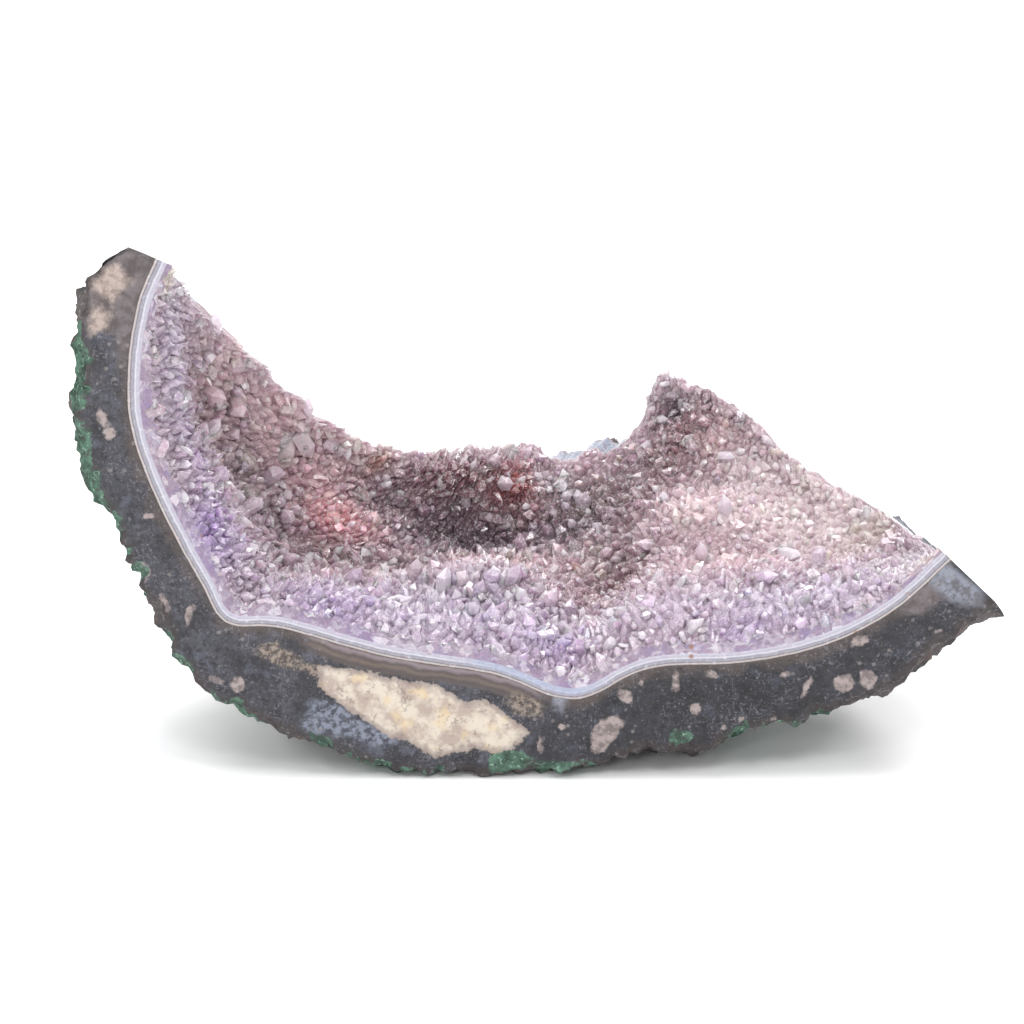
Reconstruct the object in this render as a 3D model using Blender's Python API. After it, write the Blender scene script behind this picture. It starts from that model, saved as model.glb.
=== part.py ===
"""Half of an amethyst geode, as a Blender model: a basalt rind with one sawn face, a thin agate band
that lines it, and the crust of amethyst crystals that fills the hollow.

Lengths are millimetres until a mesh is made, +Z is up, and the sawn face looks towards -Y. The shell is a
loft over ribs. A place on it is given by how far it lies along the sawn edge, from the left tip, and how far
up its rib, from the sawn edge. The finished part stands on the point under the middle of its box.
"""

import math
import random

import bmesh
import bpy
import numpy as np
from mathutils import Vector, geometry, noise
from mathutils.bvhtree import BVHTree

MM = 0.001

# Ribs of the shell, from the tip of the tall left wall, round the bottom, to the right tip. Each starts on
# the sawn face (x, z), where the rind is so thick, and ends on the broken rim (x, y, z). In between it bows
# outwards by the last value.
RIBS = [
    ((-59, 89), 3.5, (-57, 3, 87), 0.5),
    ((-62, 82), 8.5, (-53, 10, 78), 2),
    ((-64, 72), 7, (-48, 21, 69), 5),
    ((-64, 61), 7, (-44, 29, 62), 8),
    ((-60, 48), 8, (-36, 39, 51), 9),
    ((-54, 35), 9, (-28, 48, 43), 10),
    ((-50, 28), 11, (-24, 52, 41), 11),
    ((-41, 27), 16, (-18, 56, 39), 11),
    ((-24, 22), 18.5, (-7, 61, 38), 11),
    ((-7, 19), 17.5, (5, 64, 39), 11),
    ((3, 15), 13, (13, 65, 41), 10),
    ((9, 15), 11, (18, 64, 44), 10),
    ((19, 20), 14, (23, 61, 52), 10),
    ((34, 21), 12, (36, 56, 48), 9),
    ((47, 24), 12, (47, 47, 40), 8),
    ((58, 30), 10, (59, 31, 37), 5),
    ((67, 39), 10, (68, 4, 37), 0.5),
]

# How thick the rind is at the rim, where the ribs are long, and how thick the layers in it are.
RIM_RIND = 8.0
LONG_RIB = 30.0
AGATE = 2.0
CRUST = 5.0
TIP_CRUST = 0.8
TIP_TAPER = 22.0
GAP = 0.3

# How far from the sawn face the layers still lie square to it, and how far the shell's directions are
# evened out along the sawn edge, at the sawn face and behind it.
SQUARE_ZONE = 14.0
EVENING = 6.0
DEEP_EVENING = 10.0

# Lumps of the rind: how far along and up the rib, radius, height. The shell stands on the first three.
LUMPS = [
    (84, 26, 12, 3.5),
    (138, 14, 12, 6.5),
    (110, 42, 11, 4.5),
    (36, 9, 8, 3.0),
    (22, 8, 7, 1.5),
    (13, 7, 5, 2.0),
]

# Forms of the crust in the hollow: how far along and up the rib, half length, half width, height.
MOUNDS = [
    (104, 26, 16, 10, 6.3),
    (88, 62, 19, 6, 7.0),
    (65, 43, 10, 9, 5.0),
    (148, 38, 13, 8, 5.0),
    (159, 18, 16, 8, 3.0),
    (40, 15, 16, 6, 1.5),
    (97, 51, 16, 5, -4.0),
    (84, 38, 8, 7, -2.5),
    (128, 33, 8, 8, -3.5),
    (139, 66, 3.5, 3, -3.0),
]

# How the broken rim slopes down towards the outside, in mm for each mm of depth: how far along, slope.
RIM_SLOPE = [(0, 0.3), (7, 0.7), (20, 0.65), (60, 0.6), (115, 0.1), (138, 0.1), (184, 0.4), (192, 0)]

# The forms of the crust fade out this near to the sawn edge and to the rim, where this share of them is left.
FRONT_FADE = 6.0
RIM_FADE = 5.0
RIM_REST = 0.3

# Where the crust's edge stands back from the rim and shows the agate: how far along, radius, how far back.
BARE_RIM = (126, 11, 3.5)

# The rind's rough skin: rounded lumps and finer noise, each (size across, height). This near to the tips it
# grows calmer, down to this share.
SKIN_LUMPS = (17.0, 2.4)
SKIN_NOISE = [(14.0, 1.3), (5.0, 0.8)]
CALM_TIP = 14.0
TIP_SHARE = 0.25

# The rim is broken to this depth by noise, each (size, row of the noise, weight), but not deeper than this
# share of a rib.
RIM_JAGS = 2.0
JAG_NOISE = [(5.0, 7.0, 1.0), (2.1, 3.0, 0.5)]
JAG_LIMIT = 0.25

# The broken face in the rind is rough between its two edges, from this far behind the sawn face, growing
# over this length, and stands out on average.
RIM_ROUGHNESS = 1.3
RIM_GRAIN = 4.0
RIM_LIFT = 0.6
RIM_CALM = 4.0
RIM_GROWTH = 12.0
RIM_ROWS = (0.3, 0.65)

# The crystals: from one tip to the next, height, how far it varies, how far they lean, and how many are
# taller, by how much. Crystals that run into each other are lowered by a share at a time.
CRYSTAL_STEP = 3.4
CRYSTAL_HEIGHT = 2.2
CRYSTAL_RANGE = (0.6, 1.25)
CRYSTAL_LEAN = 0.22
TALL_SHARE = 0.08
TALL = 1.5
LOWERINGS = 12
LOWERING = 0.3

# Spacing of the points along each layer's edge, on the faces between the layers and on the outer skin. The
# points lie in rows of equal triangles, moved a little by chance, and stay clear of the edge.
EDGE_STEP = 3.8
SHEET_STEP = 7.5
ROCK_STEP = 4.7
ROW_STEP = math.sqrt(0.75)
FIRST_ROW = 0.65
JITTER = 0.21
EDGE_CLEAR = 0.5
RIM_CLEAR = 1.5

# The shell is sampled at this many places along the sawn edge and up each rib.
ALONG = 241
UP = 41


def smoothstep(x):
    """Rises smoothly from 0 at 0 to 1 at 1."""
    x = np.clip(x, 0.0, 1.0)
    return x * x * (3 - 2 * x)


def unit(vectors):
    """Vectors of the same directions, of length 1."""
    return vectors / np.linalg.norm(vectors, axis=-1, keepdims=True)


def spline(table, stations):
    """The smooth curve through the rows of a table, read at fractional row numbers."""
    last = len(table) - 1
    first = np.clip(np.floor(stations).astype(int), 0, last - 1)
    f = (stations - first)[:, None]
    before, after = np.clip(first - 1, 0, last), np.clip(first + 2, 0, last)
    p0, p1, p2, p3 = table[before], table[first], table[first + 1], table[after]
    return 0.5 * (
        2 * p1 + (p2 - p0) * f + (2 * p0 - 5 * p1 + 4 * p2 - p3) * f**2 + (3 * p1 - p0 - 3 * p2 + p3) * f**3
    )


def evened(rows, width):
    """Rows averaged with their neighbours along the sawn edge, weighted by a bell curve of this width."""
    reach = int(3 * width)
    offsets = np.arange(-reach, reach + 1)
    weights = np.exp(-0.5 * (offsets / width) ** 2)
    places = np.clip(np.arange(len(rows))[:, None] + offsets, 0, len(rows) - 1)
    return np.tensordot(rows[places], weights / weights.sum(), axes=(1, 0))


class Shell:
    """The lofted surface between the rind and what lines it, sampled along the sawn edge and up the ribs."""

    def __init__(self):
        starts = np.array([(x, 0.0, z) for (x, z), _, _, _ in RIBS])
        ends = np.array([end for _, _, end, _ in RIBS], float)
        sizes = np.array([(thick, bow) for _, thick, _, bow in RIBS], float)

        fine = np.linspace(0, len(RIBS) - 1, 2001)
        steps = np.linalg.norm(np.diff(spline(starts, fine), axis=0), axis=1)
        run = np.concatenate([[0.0], np.cumsum(steps)])
        self.length = run[-1]
        stations = np.interp(np.linspace(0, self.length, ALONG), run, fine)
        start, end, size = (spline(table, stations) for table in (starts, ends, sizes))

        chord = end - start
        tangent = evened(np.gradient(start, axis=0), EVENING * ALONG / self.length)
        outward = unit(evened(unit(np.cross(chord, tangent)), EVENING * ALONG / self.length))
        up = np.linspace(0, 1, UP)[None, :, None]
        bow = size[:, 1][:, None, None] * 4 * up * (1 - up)
        self.surface = start[:, None] + chord[:, None] * up + outward[:, None] * bow
        self.ribs = np.linalg.norm(np.diff(self.surface, axis=1), axis=2).sum(axis=1)

        normal = unit(np.cross(np.gradient(self.surface, axis=1), np.gradient(self.surface, axis=0)))
        normal = evened(normal, DEEP_EVENING * ALONG / self.length)
        in_plane = unit(np.stack([tangent[:, 2], np.zeros(ALONG), -tangent[:, 0]], axis=1))[:, None]
        turned = smoothstep(up * self.ribs[:, None, None] / SQUARE_ZONE)
        self.outward = unit(in_plane * (1 - turned) + unit(normal) * turned)
        self.front_rind = size[:, 0]

    def rib(self, along):
        """How long the ribs are at these places along the sawn edge."""
        return np.interp(along, np.linspace(0, self.length, ALONG), self.ribs)

    def read(self, grid, along, up):
        """The values of a grid at these places, up being a share of the rib."""
        i = np.clip(along / self.length * (ALONG - 1), 0, ALONG - 1.001)
        j = np.clip(up * (UP - 1), 0, UP - 1.001)
        i0, j0 = i.astype(int), j.astype(int)
        fi, fj = (i - i0)[:, None], (j - j0)[:, None]
        near = grid[i0, j0] * (1 - fj) + grid[i0, j0 + 1] * fj
        far = grid[i0 + 1, j0] * (1 - fj) + grid[i0 + 1, j0 + 1] * fj
        return near * (1 - fi) + far * fi

    def crust(self, along):
        """How thick the quartz is under its crystals; it thins towards both tips."""
        from_tip = np.minimum(along, self.length - along)
        return TIP_CRUST + (CRUST - TIP_CRUST) * smoothstep(from_tip / TIP_TAPER)

    def place(self, spots, depth):
        """Points at a depth outwards from the rind's inner face, for spots (along, up the rib)."""
        along, high = spots[:, 0], spots[:, 1]
        rib = self.rib(along)
        lining = AGATE + 2 * GAP + self.crust(along)
        slope = np.interp(along, *np.transpose(RIM_SLOPE))
        bare_at, bare_radius, bare_back = BARE_RIM
        bare = bare_back * smoothstep(2 - abs(along - bare_at) / bare_radius)
        lowered = slope * (depth + lining).clip(0) + bare * (-(depth + AGATE + 2 * GAP) / CRUST).clip(0, 1)
        up = (high - lowered * smoothstep(high / rib) ** 2) / rib
        offset = depth + lining * smoothstep(up)
        return self.read(self.surface, along, up) + self.read(self.outward, along, up) * offset[:, None]


def bumps(spots, forms):
    """The summed height of round forms, each (along, up, half length, half width, height)."""
    height = np.zeros(len(spots))
    for along, up, long, wide, high in forms:
        across = ((spots[:, 0] - along) / long) ** 2 + ((spots[:, 1] - up) / wide) ** 2
        height += high * np.exp(-across)
    return height


def roughness(points, grain):
    """Rough rock: noise of this grain at these points, about -1 to 1."""
    return np.array([noise.fractal(Vector(p) / grain, 0.9, 2.0, 3) for p in points])


def lumps(points, grain):
    """Rounded lumps of this size with creases between them, about 0 to 1."""
    return np.array([1 - noise.voronoi(Vector(p) / grain)[0][0] for p in points])


def rock_depth(shell, spots):
    """How thick the rind is at these spots, with its lumps and its rough skin."""
    along, rib = spots[:, 0], shell.rib(spots[:, 0])
    front = np.interp(along, np.linspace(0, shell.length, ALONG), shell.front_rind)
    thick = front + (RIM_RIND - front) * smoothstep(spots[:, 1] / rib) * smoothstep(rib / LONG_RIB)
    thick += bumps(spots, [(x, y, radius, radius, high) for x, y, radius, high in LUMPS])
    smooth = shell.place(spots, thick)
    lump_size, lump_height = SKIN_LUMPS
    rough = lump_height * (lumps(smooth, lump_size) - 0.5)
    for grain, height in SKIN_NOISE:
        rough += height * roughness(smooth, grain)
    from_tip = np.minimum(along, shell.length - along)
    return thick + rough * (TIP_SHARE + (1 - TIP_SHARE) * smoothstep(from_tip / CALM_TIP))


def crust_depth(shell, spots):
    """How far inwards the crust's base reaches at these spots, with its mounds and hollows."""
    rib = shell.rib(spots[:, 0])
    inside = smoothstep(spots[:, 1] / FRONT_FADE) * smoothstep((rib - spots[:, 1]) / RIM_FADE + RIM_REST)
    forms = bumps(spots, MOUNDS)
    return -(2 * GAP + AGATE + shell.crust(spots[:, 0]) + forms * inside)


def border(shell):
    """The closed outline of the shell, laid flat: along the sawn edge, then back along the broken rim."""
    count = round(shell.length / EDGE_STEP)
    along = np.linspace(0, shell.length, count + 1)
    jagged = np.zeros(count + 1)
    for grain, row, weight in JAG_NOISE:
        jagged += weight * np.array([noise.noise((a / grain, row, 0)) for a in along])
    rim = shell.rib(along) - np.clip(RIM_JAGS * (0.4 + 0.6 * jagged), 0, JAG_LIMIT * shell.rib(along))
    front = np.stack([along, np.zeros(count + 1)], axis=1)
    return np.concatenate([front, np.stack([along, rim], axis=1)[::-1]])


def triangulated(shell, outline, step, seed):
    """Spots inside the outline, about a step apart, and the triangles between them and the outline."""
    rng = random.Random(seed)
    spots = []
    clear = EDGE_CLEAR * step
    for row in range(int(shell.ribs.max() / (step * ROW_STEP)) + 1):
        for column in range(int(shell.length / step) + 1):
            along = (column + 0.5 * (row % 2) + rng.uniform(-JITTER, JITTER)) * step
            up = ((row + FIRST_ROW) * ROW_STEP + rng.uniform(-JITTER, JITTER)) * step
            if clear < along < shell.length - clear and clear < up < shell.rib(along) - clear - RIM_CLEAR:
                spots.append((along, up))
    spots = np.concatenate([outline, np.array(spots)])
    edge = [(i, (i + 1) % len(outline)) for i in range(len(outline))]
    result = geometry.delaunay_2d_cdt([Vector(spot) for spot in spots], edge, [], 1, 1e-5)
    return np.array([tuple(v) for v in result[0]]), result[2]


def add_sheet(bm, points, triangles):
    """One surface of a layer; returns its vertices and its faces."""
    verts = [bm.verts.new(Vector(p) * MM) for p in points]
    faces = [bm.faces.new([verts[i] for i in corners]) for corners in triangles]
    return verts, faces


def add_edge(bm, loops):
    """The edge of a layer, between loops of vertices of equal length."""
    for one, other in zip(loops, loops[1:]):
        for i in range(len(one)):
            j = (i + 1) % len(one)
            bm.faces.new((one[i], one[j], other[j], other[i]))


def finish(bm, name, look, collection):
    """Turns the faces outwards and makes the object."""
    bmesh.ops.triangulate(bm, faces=[face for face in bm.faces if len(face.verts) > 3])
    bmesh.ops.recalc_face_normals(bm, faces=bm.faces)
    mesh = bpy.data.meshes.new(name)
    bm.to_mesh(mesh)
    bm.free()
    mesh.materials.append(look)
    thing = bpy.data.objects.new(name, mesh)
    collection.objects.link(thing)
    return thing


def plain_look(name, color, dullness, transmission=0.0):
    """A plain Principled material."""
    made = bpy.data.materials.new(name)
    made.use_nodes = True
    shader = made.node_tree.nodes["Principled BSDF"]
    shader.inputs["Base Color"].default_value = (*color, 1)
    shader.inputs["Roughness"].default_value = dullness
    shader.inputs["Transmission Weight"].default_value = transmission
    made.diffuse_color = (*color, 1)
    return made


def rind(shell, outline, lining, collection):
    """The basalt, flat where it was sawn, broken at the rim and rough outside."""
    bm = bmesh.new()
    spots, triangles = lining
    inner, _ = add_sheet(bm, shell.place(spots, np.zeros(len(spots))), triangles)
    spots, triangles = triangulated(shell, outline, ROCK_STEP, 5)
    points = shell.place(spots, rock_depth(shell, spots))
    points[:, 2] = points[:, 2].clip(0)
    outer, _ = add_sheet(bm, points, triangles)

    count = len(outline)
    broken = smoothstep((outline[:, 1] - RIM_CALM) / RIM_GROWTH)[:, None]
    rows = []
    for share in RIM_ROWS:
        depth = share * rock_depth(shell, outline)
        row = shell.place(outline, depth)
        up_rib = row - shell.place(outline - [0, 1], depth)
        row += up_rib * broken * RIM_ROUGHNESS * (roughness(row, RIM_GRAIN) + RIM_LIFT)[:, None]
        rows.append([bm.verts.new(Vector(p) * MM) for p in row])
    add_edge(bm, [inner[:count], *rows, outer[:count]])
    return finish(bm, "basalt_rind", plain_look("basalt", (0.07, 0.07, 0.08), 0.85), collection)


def agate(shell, outline, lining, collection):
    """The thin banded layer between the rind and the quartz."""
    bm = bmesh.new()
    spots, triangles = lining
    outer, _ = add_sheet(bm, shell.place(spots, np.full(len(spots), -GAP)), triangles)
    inner, _ = add_sheet(bm, shell.place(spots, np.full(len(spots), -GAP - AGATE)), triangles)
    add_edge(bm, [outer[: len(outline)], inner[: len(outline)]])
    return finish(bm, "agate_band", plain_look("agate", (0.62, 0.68, 0.78), 0.25), collection)


def crossing_faces(bm):
    """The faces that run through another face of the same mesh."""
    bm.faces.ensure_lookup_table()
    tree = BVHTree.FromBMesh(bm)
    crossing = set()
    for one, other in tree.overlap(tree):
        if not set(bm.faces[one].verts) & set(bm.faces[other].verts):
            crossing.update((bm.faces[one], bm.faces[other]))
    return crossing


def crust(shell, outline, lining, collection):
    """The quartz that lines the hollow, every part of it grown up into a crystal with flat faces."""
    bm = bmesh.new()
    rng = random.Random(11)
    spots, triangles = triangulated(shell, outline, CRYSTAL_STEP, 8)
    base = crust_depth(shell, spots)
    level = shell.place(spots, base)
    inner, faces = add_sheet(bm, level, triangles)

    raised = shell.place(spots, base - 1.0)
    between = [edge for edge in bm.edges if len(edge.link_faces) == 2]
    bmesh.ops.poke(bm, faces=faces)
    bmesh.ops.rotate_edges(bm, edges=between)
    for i in range(len(outline), len(spots)):
        inwards = Vector(raised[i] - level[i])
        lean = Vector((rng.gauss(0, 1), rng.gauss(0, 1), rng.gauss(0, 1))) * CRYSTAL_LEAN
        height = CRYSTAL_HEIGHT * rng.uniform(*CRYSTAL_RANGE)
        if rng.random() < TALL_SHARE:
            height *= TALL
        tip = Vector(level[i]) + (inwards + lean) * height
        tip.y = max(tip.y, GAP)
        inner[i].co = tip * MM

    feet = {inner[i]: Vector(level[i]) * MM for i in range(len(outline), len(spots))}
    spots, triangles = lining
    outer, _ = add_sheet(bm, shell.place(spots, np.full(len(spots), -2 * GAP - AGATE)), triangles)
    add_edge(bm, [inner[: len(outline)], outer[: len(outline)]])
    for _ in range(LOWERINGS):
        for tip in {vert for face in crossing_faces(bm) for vert in face.verts if vert in feet}:
            tip.co = tip.co.lerp(feet[tip], LOWERING)
    return finish(bm, "amethyst_crust", plain_look("amethyst", (0.5, 0.36, 0.55), 0.15, 0.2), collection)


def main():
    """Makes the layers, and stands them on the point under the middle of their box."""
    for thing in list(bpy.data.objects):
        bpy.data.objects.remove(thing)
    collection = bpy.data.collections.new("geode_half")
    bpy.context.scene.collection.children.link(collection)

    shell = Shell()
    outline = border(shell)
    lining = triangulated(shell, outline, SHEET_STEP, 2)
    layers = [make(shell, outline, lining, collection) for make in (rind, agate, crust)]

    corners = np.array([vertex.co for layer in layers for vertex in layer.data.vertices])
    low, high = corners.min(axis=0), corners.max(axis=0)
    for layer in layers:
        layer.location = (-(low[0] + high[0]) / 2, -(low[1] + high[1]) / 2, -low[2])


main()
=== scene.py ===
"""The looks of half an amethyst geode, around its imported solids: the sawn and broken basalt rind, the agate
band and the quartz crust as fine meshes with node materials, and thousands of small pointed crystals.

Lengths are millimetres until a mesh is made. The pieces are modelled with the sawn face at y = 0, looking
towards -Y, on ground at z = 0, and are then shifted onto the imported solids. A place on the shell is given by
how far it lies along the sawn edge, from the left tip, and how far up its rib, from the sawn edge.
"""

import math

import bpy
import numpy as np
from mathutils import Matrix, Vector, geometry, noise

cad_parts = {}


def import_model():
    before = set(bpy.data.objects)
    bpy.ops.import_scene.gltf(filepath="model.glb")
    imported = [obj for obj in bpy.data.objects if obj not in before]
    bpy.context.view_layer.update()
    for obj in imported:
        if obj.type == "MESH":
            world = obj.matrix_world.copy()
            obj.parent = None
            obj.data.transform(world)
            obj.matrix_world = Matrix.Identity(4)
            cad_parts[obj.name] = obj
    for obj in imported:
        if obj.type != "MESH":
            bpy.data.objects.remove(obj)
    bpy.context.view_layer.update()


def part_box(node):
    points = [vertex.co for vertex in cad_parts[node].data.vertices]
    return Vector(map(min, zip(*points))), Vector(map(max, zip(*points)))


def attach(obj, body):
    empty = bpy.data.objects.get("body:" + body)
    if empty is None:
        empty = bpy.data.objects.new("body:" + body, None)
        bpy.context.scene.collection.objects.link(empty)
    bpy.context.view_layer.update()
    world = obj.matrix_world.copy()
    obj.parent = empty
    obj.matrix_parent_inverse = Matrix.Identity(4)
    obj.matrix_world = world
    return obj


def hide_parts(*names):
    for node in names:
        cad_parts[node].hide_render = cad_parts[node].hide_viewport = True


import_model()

MM = 0.001

# Ribs of the shell, from the tip of the tall left wall, round the bottom, to the right tip. Each starts on
# the sawn face (x, z), where the rind is so thick, and ends on the broken rim (x, y, z). In between it bows
# outwards by the last value.
RIBS = [
    ((-59, 89), 3.5, (-57, 3, 87), 0.5),
    ((-62, 82), 8.5, (-53, 10, 78), 2),
    ((-64, 72), 7, (-48, 21, 69), 5),
    ((-64, 61), 7, (-44, 29, 62), 8),
    ((-60, 48), 8, (-36, 39, 51), 9),
    ((-54, 35), 9, (-28, 48, 43), 10),
    ((-50, 28), 11, (-24, 52, 41), 11),
    ((-41, 27), 16, (-18, 56, 39), 11),
    ((-24, 22), 18.5, (-7, 61, 38), 11),
    ((-7, 19), 17.5, (5, 64, 39), 11),
    ((3, 15), 13, (13, 65, 41), 10),
    ((9, 15), 11, (18, 64, 44), 10),
    ((19, 20), 14, (23, 61, 52), 10),
    ((34, 21), 12, (36, 56, 48), 9),
    ((47, 24), 12, (47, 47, 40), 8),
    ((58, 30), 10, (59, 31, 37), 5),
    ((67, 39), 10, (68, 4, 37), 0.5),
]

# How thick the rind is at the rim, where the ribs are long, and how thick the layers in it are. The layers
# of the looks meet with a hair's breadth between them.
RIM_RIND = 8.0
LONG_RIB = 30.0
AGATE = 2.0
CRUST = 5.6
TIP_CRUST = 1.4
TIP_TAPER = 22.0
HAIR = 0.02

# How far from the sawn face the layers still lie square to it, and how far the shell's directions are
# evened out along the sawn edge, at the sawn face and behind it.
SQUARE_ZONE = 14.0
EVENING = 6.0
DEEP_EVENING = 10.0

# Lumps of the rind: how far along and up the rib, radius, height.
LUMPS = [
    (84, 26, 12, 3.5),
    (138, 14, 12, 6.5),
    (110, 42, 11, 4.5),
    (36, 9, 8, 3.0),
    (22, 8, 7, 1.5),
    (13, 7, 5, 2.0),
]

# Forms of the crust in the hollow: how far along and up the rib, half length, half width, height.
MOUNDS = [
    (104, 26, 16, 10, 6.3),
    (88, 62, 19, 6, 7.0),
    (65, 43, 10, 9, 5.0),
    (148, 38, 13, 8, 5.0),
    (159, 18, 16, 8, 3.0),
    (40, 15, 16, 6, 1.5),
    (97, 51, 16, 5, -4.0),
    (84, 38, 8, 7, -2.5),
    (128, 33, 8, 8, -3.5),
    (139, 66, 3.5, 3, -3.0),
]

# How the broken rim slopes down towards the outside, in mm for each mm of depth: how far along, slope.
RIM_SLOPE = [(0, 0.3), (7, 0.7), (20, 0.65), (60, 0.6), (115, 0.1), (138, 0.1), (184, 0.4), (192, 0)]

# The forms of the crust fade out this near to the sawn edge and to the rim, where this share of them is left.
FRONT_FADE = 6.0
RIM_FADE = 5.0
RIM_REST = 0.3

# Where the crust's edge stands back from the rim and shows the agate: how far along, radius, how far back.
# The larger crystals stand back by this share of it.
BARE_RIM = (120, 9, 4.5)
BARE_SHARE = 0.6

# The rind's skin: rounded lumps, then ever finer noise, each (size across, height), and the noise's falloff,
# step and octaves. This near to the tips it grows calmer, down to this share.
SKIN_LUMPS = [(17.0, 2.4), (6.0, 1.8)]
SKIN_NOISE = [(14.0, 1.3), (5.0, 0.8)]
FINE_NOISE = [(2.6, 1.0), (1.1, 0.45)]
ROCK_NOISE = (0.9, 2.0, 3)
CALM_TIP = 14.0
TIP_SHARE = 0.25

# The rim is broken to this depth by noise, each (size, row of the noise, weight), and to this share of it on
# average, but not deeper than this share of a rib.
RIM_JAGS = 2.0
JAG_MEAN = 0.4
JAG_NOISE = [(5.0, 7.0, 1.0), (2.1, 3.0, 0.9), (1.1, 5.0, 0.5)]
JAG_LIMIT = 0.25

# The broken face in the rind is rough between its two edges, from this far behind the sawn face, growing
# over this length and from both edges over this share of its width, and stands out on average. Its noise is
# given as (size, weight).
RIM_ROUGHNESS = 1.3
RIM_GRAINS = [(4.0, 1.0), (1.3, 0.5)]
RIM_LIFT = 0.6
RIM_CALM = 4.0
RIM_GROWTH = 12.0
RIM_EASE = 0.2

# The shell's directions are worked out at this many places along the sawn edge and up each rib.
ALONG = 361
UP = 61

# Points of the fine meshes: along the sawn edge, up the ribs, and across the layers' edges.
COLUMNS = 300
ROWS = 84
ROCK_STEPS = 26
LAYER_STEPS = 6

# Chips along the outer edge of the sawn face: how wide and how deep, and their noise as for the rim.
CHIP_WIDTH = 2.2
CHIP_DEPTH = 1.8
CHIP_NOISE = [(3.1, 11.0, 1.0), (1.2, 5.0, 0.6)]
CHIP_SHARE = 0.35

# The quartz layer: how far it dips between the crystals, and the larger ones' roots reach on, how far its
# sawn edge stands back between the cut crystals and by how much that differs, how ragged the edge is and by
# what noise, as for the rim, and the layer's least thickness.
SUNK = 0.5
SET_BACK = 0.5
BACK_SPREAD = 0.6
RAGGED_EDGE = 1.4
RAGGED_NOISE = [(1.1, 9.0, 1.0)]
LEAST_CRUST = 0.4

# How much thinner the quartz is at the sawn face, where the crystals are cut off.
FRONT_THIN = 3.6

# The druse, crystals grown together side by side: their radii and how many are tried for, how close they
# stand for their radii, their least and greatest height for their radius, their lean, how far they stay from
# the shell's edges for their radius and besides, and how light the dips between them are.
DRUSE = [(1.5, 700), (1.05, 4000), (0.75, 16000), (0.5, 60000)]
DRUSE_CLOSE = 0.8
DRUSE_HEIGHT = (0.6, 1.5)
DRUSE_LEAN = 0.35
DRUSE_EDGE = (0.5, 0.2)
FOOT_SHADE = 0.92
DRUSE_SEED = 17

# This near to the rim they lean out over it by so much, less inwards by this share of that, and grow taller
# by this share of it.
RIM_ZONE = 2.5
RIM_LEAN = 1.5
RIM_FALL = 0.5
RIM_TALLER = 0.6

# The crystals that stand out of it, of each kind: spacing, least and greatest radius, least and greatest
# height, lean.
MEDIUM = (3.0, 0.5, 1.0, 1.0, 2.0, 0.6)
LARGE = (8.0, 0.9, 1.5, 1.6, 2.8, 0.65)

# The largest crystals: how far along and up, radius, height.
GREAT = [
    (29, 28, 1.6, 4.4),
    (33, 34, 1.8, 4.8),
    (36, 22, 1.5, 4.4),
    (46, 46, 2.0, 4.8),
    (50, 36, 1.7, 5.2),
    (52, 22, 1.5, 4.0),
    (58, 34, 1.6, 4.6),
    (64, 26, 1.4, 4.0),
    (78, 20, 1.5, 3.6),
    (86, 14, 1.7, 4.0),
    (90, 24, 1.6, 4.0),
    (97, 18, 1.8, 4.2),
    (104, 10, 1.6, 3.8),
    (110, 22, 1.9, 4.2),
    (114, 12, 1.6, 3.6),
    (118, 20, 1.5, 4.0),
    (92, 64, 1.4, 3.4),
    (114, 66, 1.3, 3.0),
    (119, 60, 1.5, 3.8),
    (124, 46, 1.3, 3.6),
    (132, 12, 1.4, 3.6),
    (136, 34, 1.4, 3.6),
    (146, 26, 1.5, 3.8),
    (150, 38, 1.3, 3.4),
    (156, 14, 1.6, 4.0),
    (160, 30, 1.4, 3.6),
    (166, 20, 1.4, 3.6),
    (172, 10, 1.3, 3.2),
]

# They lean by this much, are this slim for their radius and this milky.
GREAT_LEAN = 0.5
GREAT_SLIM = 0.85
GREAT_MILK = 0.35

# The camera: what it looks at, how far away it stands and how far above the horizon, and its lens.
CAMERA_AIM = (-3.7, 0.0, 47.2)
CAMERA_DISTANCE = 455.0
CAMERA_ELEVATION = 20.0
LENS = 100.0
SENSOR = 36.0

# The floor: how far it reaches in front, behind, up and to both sides, the radius of its curve and the steps
# in it, its two colours, the first linear, the size of their patches, and its roughness.
FLOOR_FRONT = 1500.0
FLOOR_BACK = 900.0
FLOOR_TOP = 2500.0
FLOOR_WIDE = 3000.0
FLOOR_CURVE = 500.0
FLOOR_STEPS = 12
FLOOR_COLOUR = (0.9, 0.9, 0.9)
FLOOR_TINT = (248, 248, 250)
FLOOR_GRAIN = 900
FLOOR_ROUGHNESS = 0.7

# How bright the world is all round.
WORLD_LIGHT = 0.67

# The lights: name, place, what they shine at, size and power.
LIGHTS = [
    ("top", (0, 350, 1400), (0, 250, 0), (1800, 1800), 8.0),
    ("key", (-220, -120, 640), (0, 0, 30), (220, 220), 1.4),
    ("back", (240, 420, 520), (0, 0, 40), (260, 180), 2.0),
    ("glint_left", (-420, -300, 420), (0, 0, 30), (110, 110), 0.6),
    ("glint_right", (380, -280, 460), (0, 0, 30), (120, 120), 0.8),
    ("glint_high", (60, 160, 620), (0, 0, 30), (110, 110), 0.5),
    ("glint_front", (40, -420, 520), (0, 0, 30), (110, 110), 0.6),
    ("glint_low", (-160, -520, 260), (0, 0, 30), (100, 100), 0.5),
]

# The kinds of surface of a layer's mesh.
OUTER, SAWN, BROKEN, INNER = range(4)

# How a mesh carries a field of one number, a place or a colour.
FIELD_KINDS = {1: ("FLOAT", "value"), 3: ("FLOAT_VECTOR", "vector"), 4: ("FLOAT_COLOR", "color")}

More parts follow.
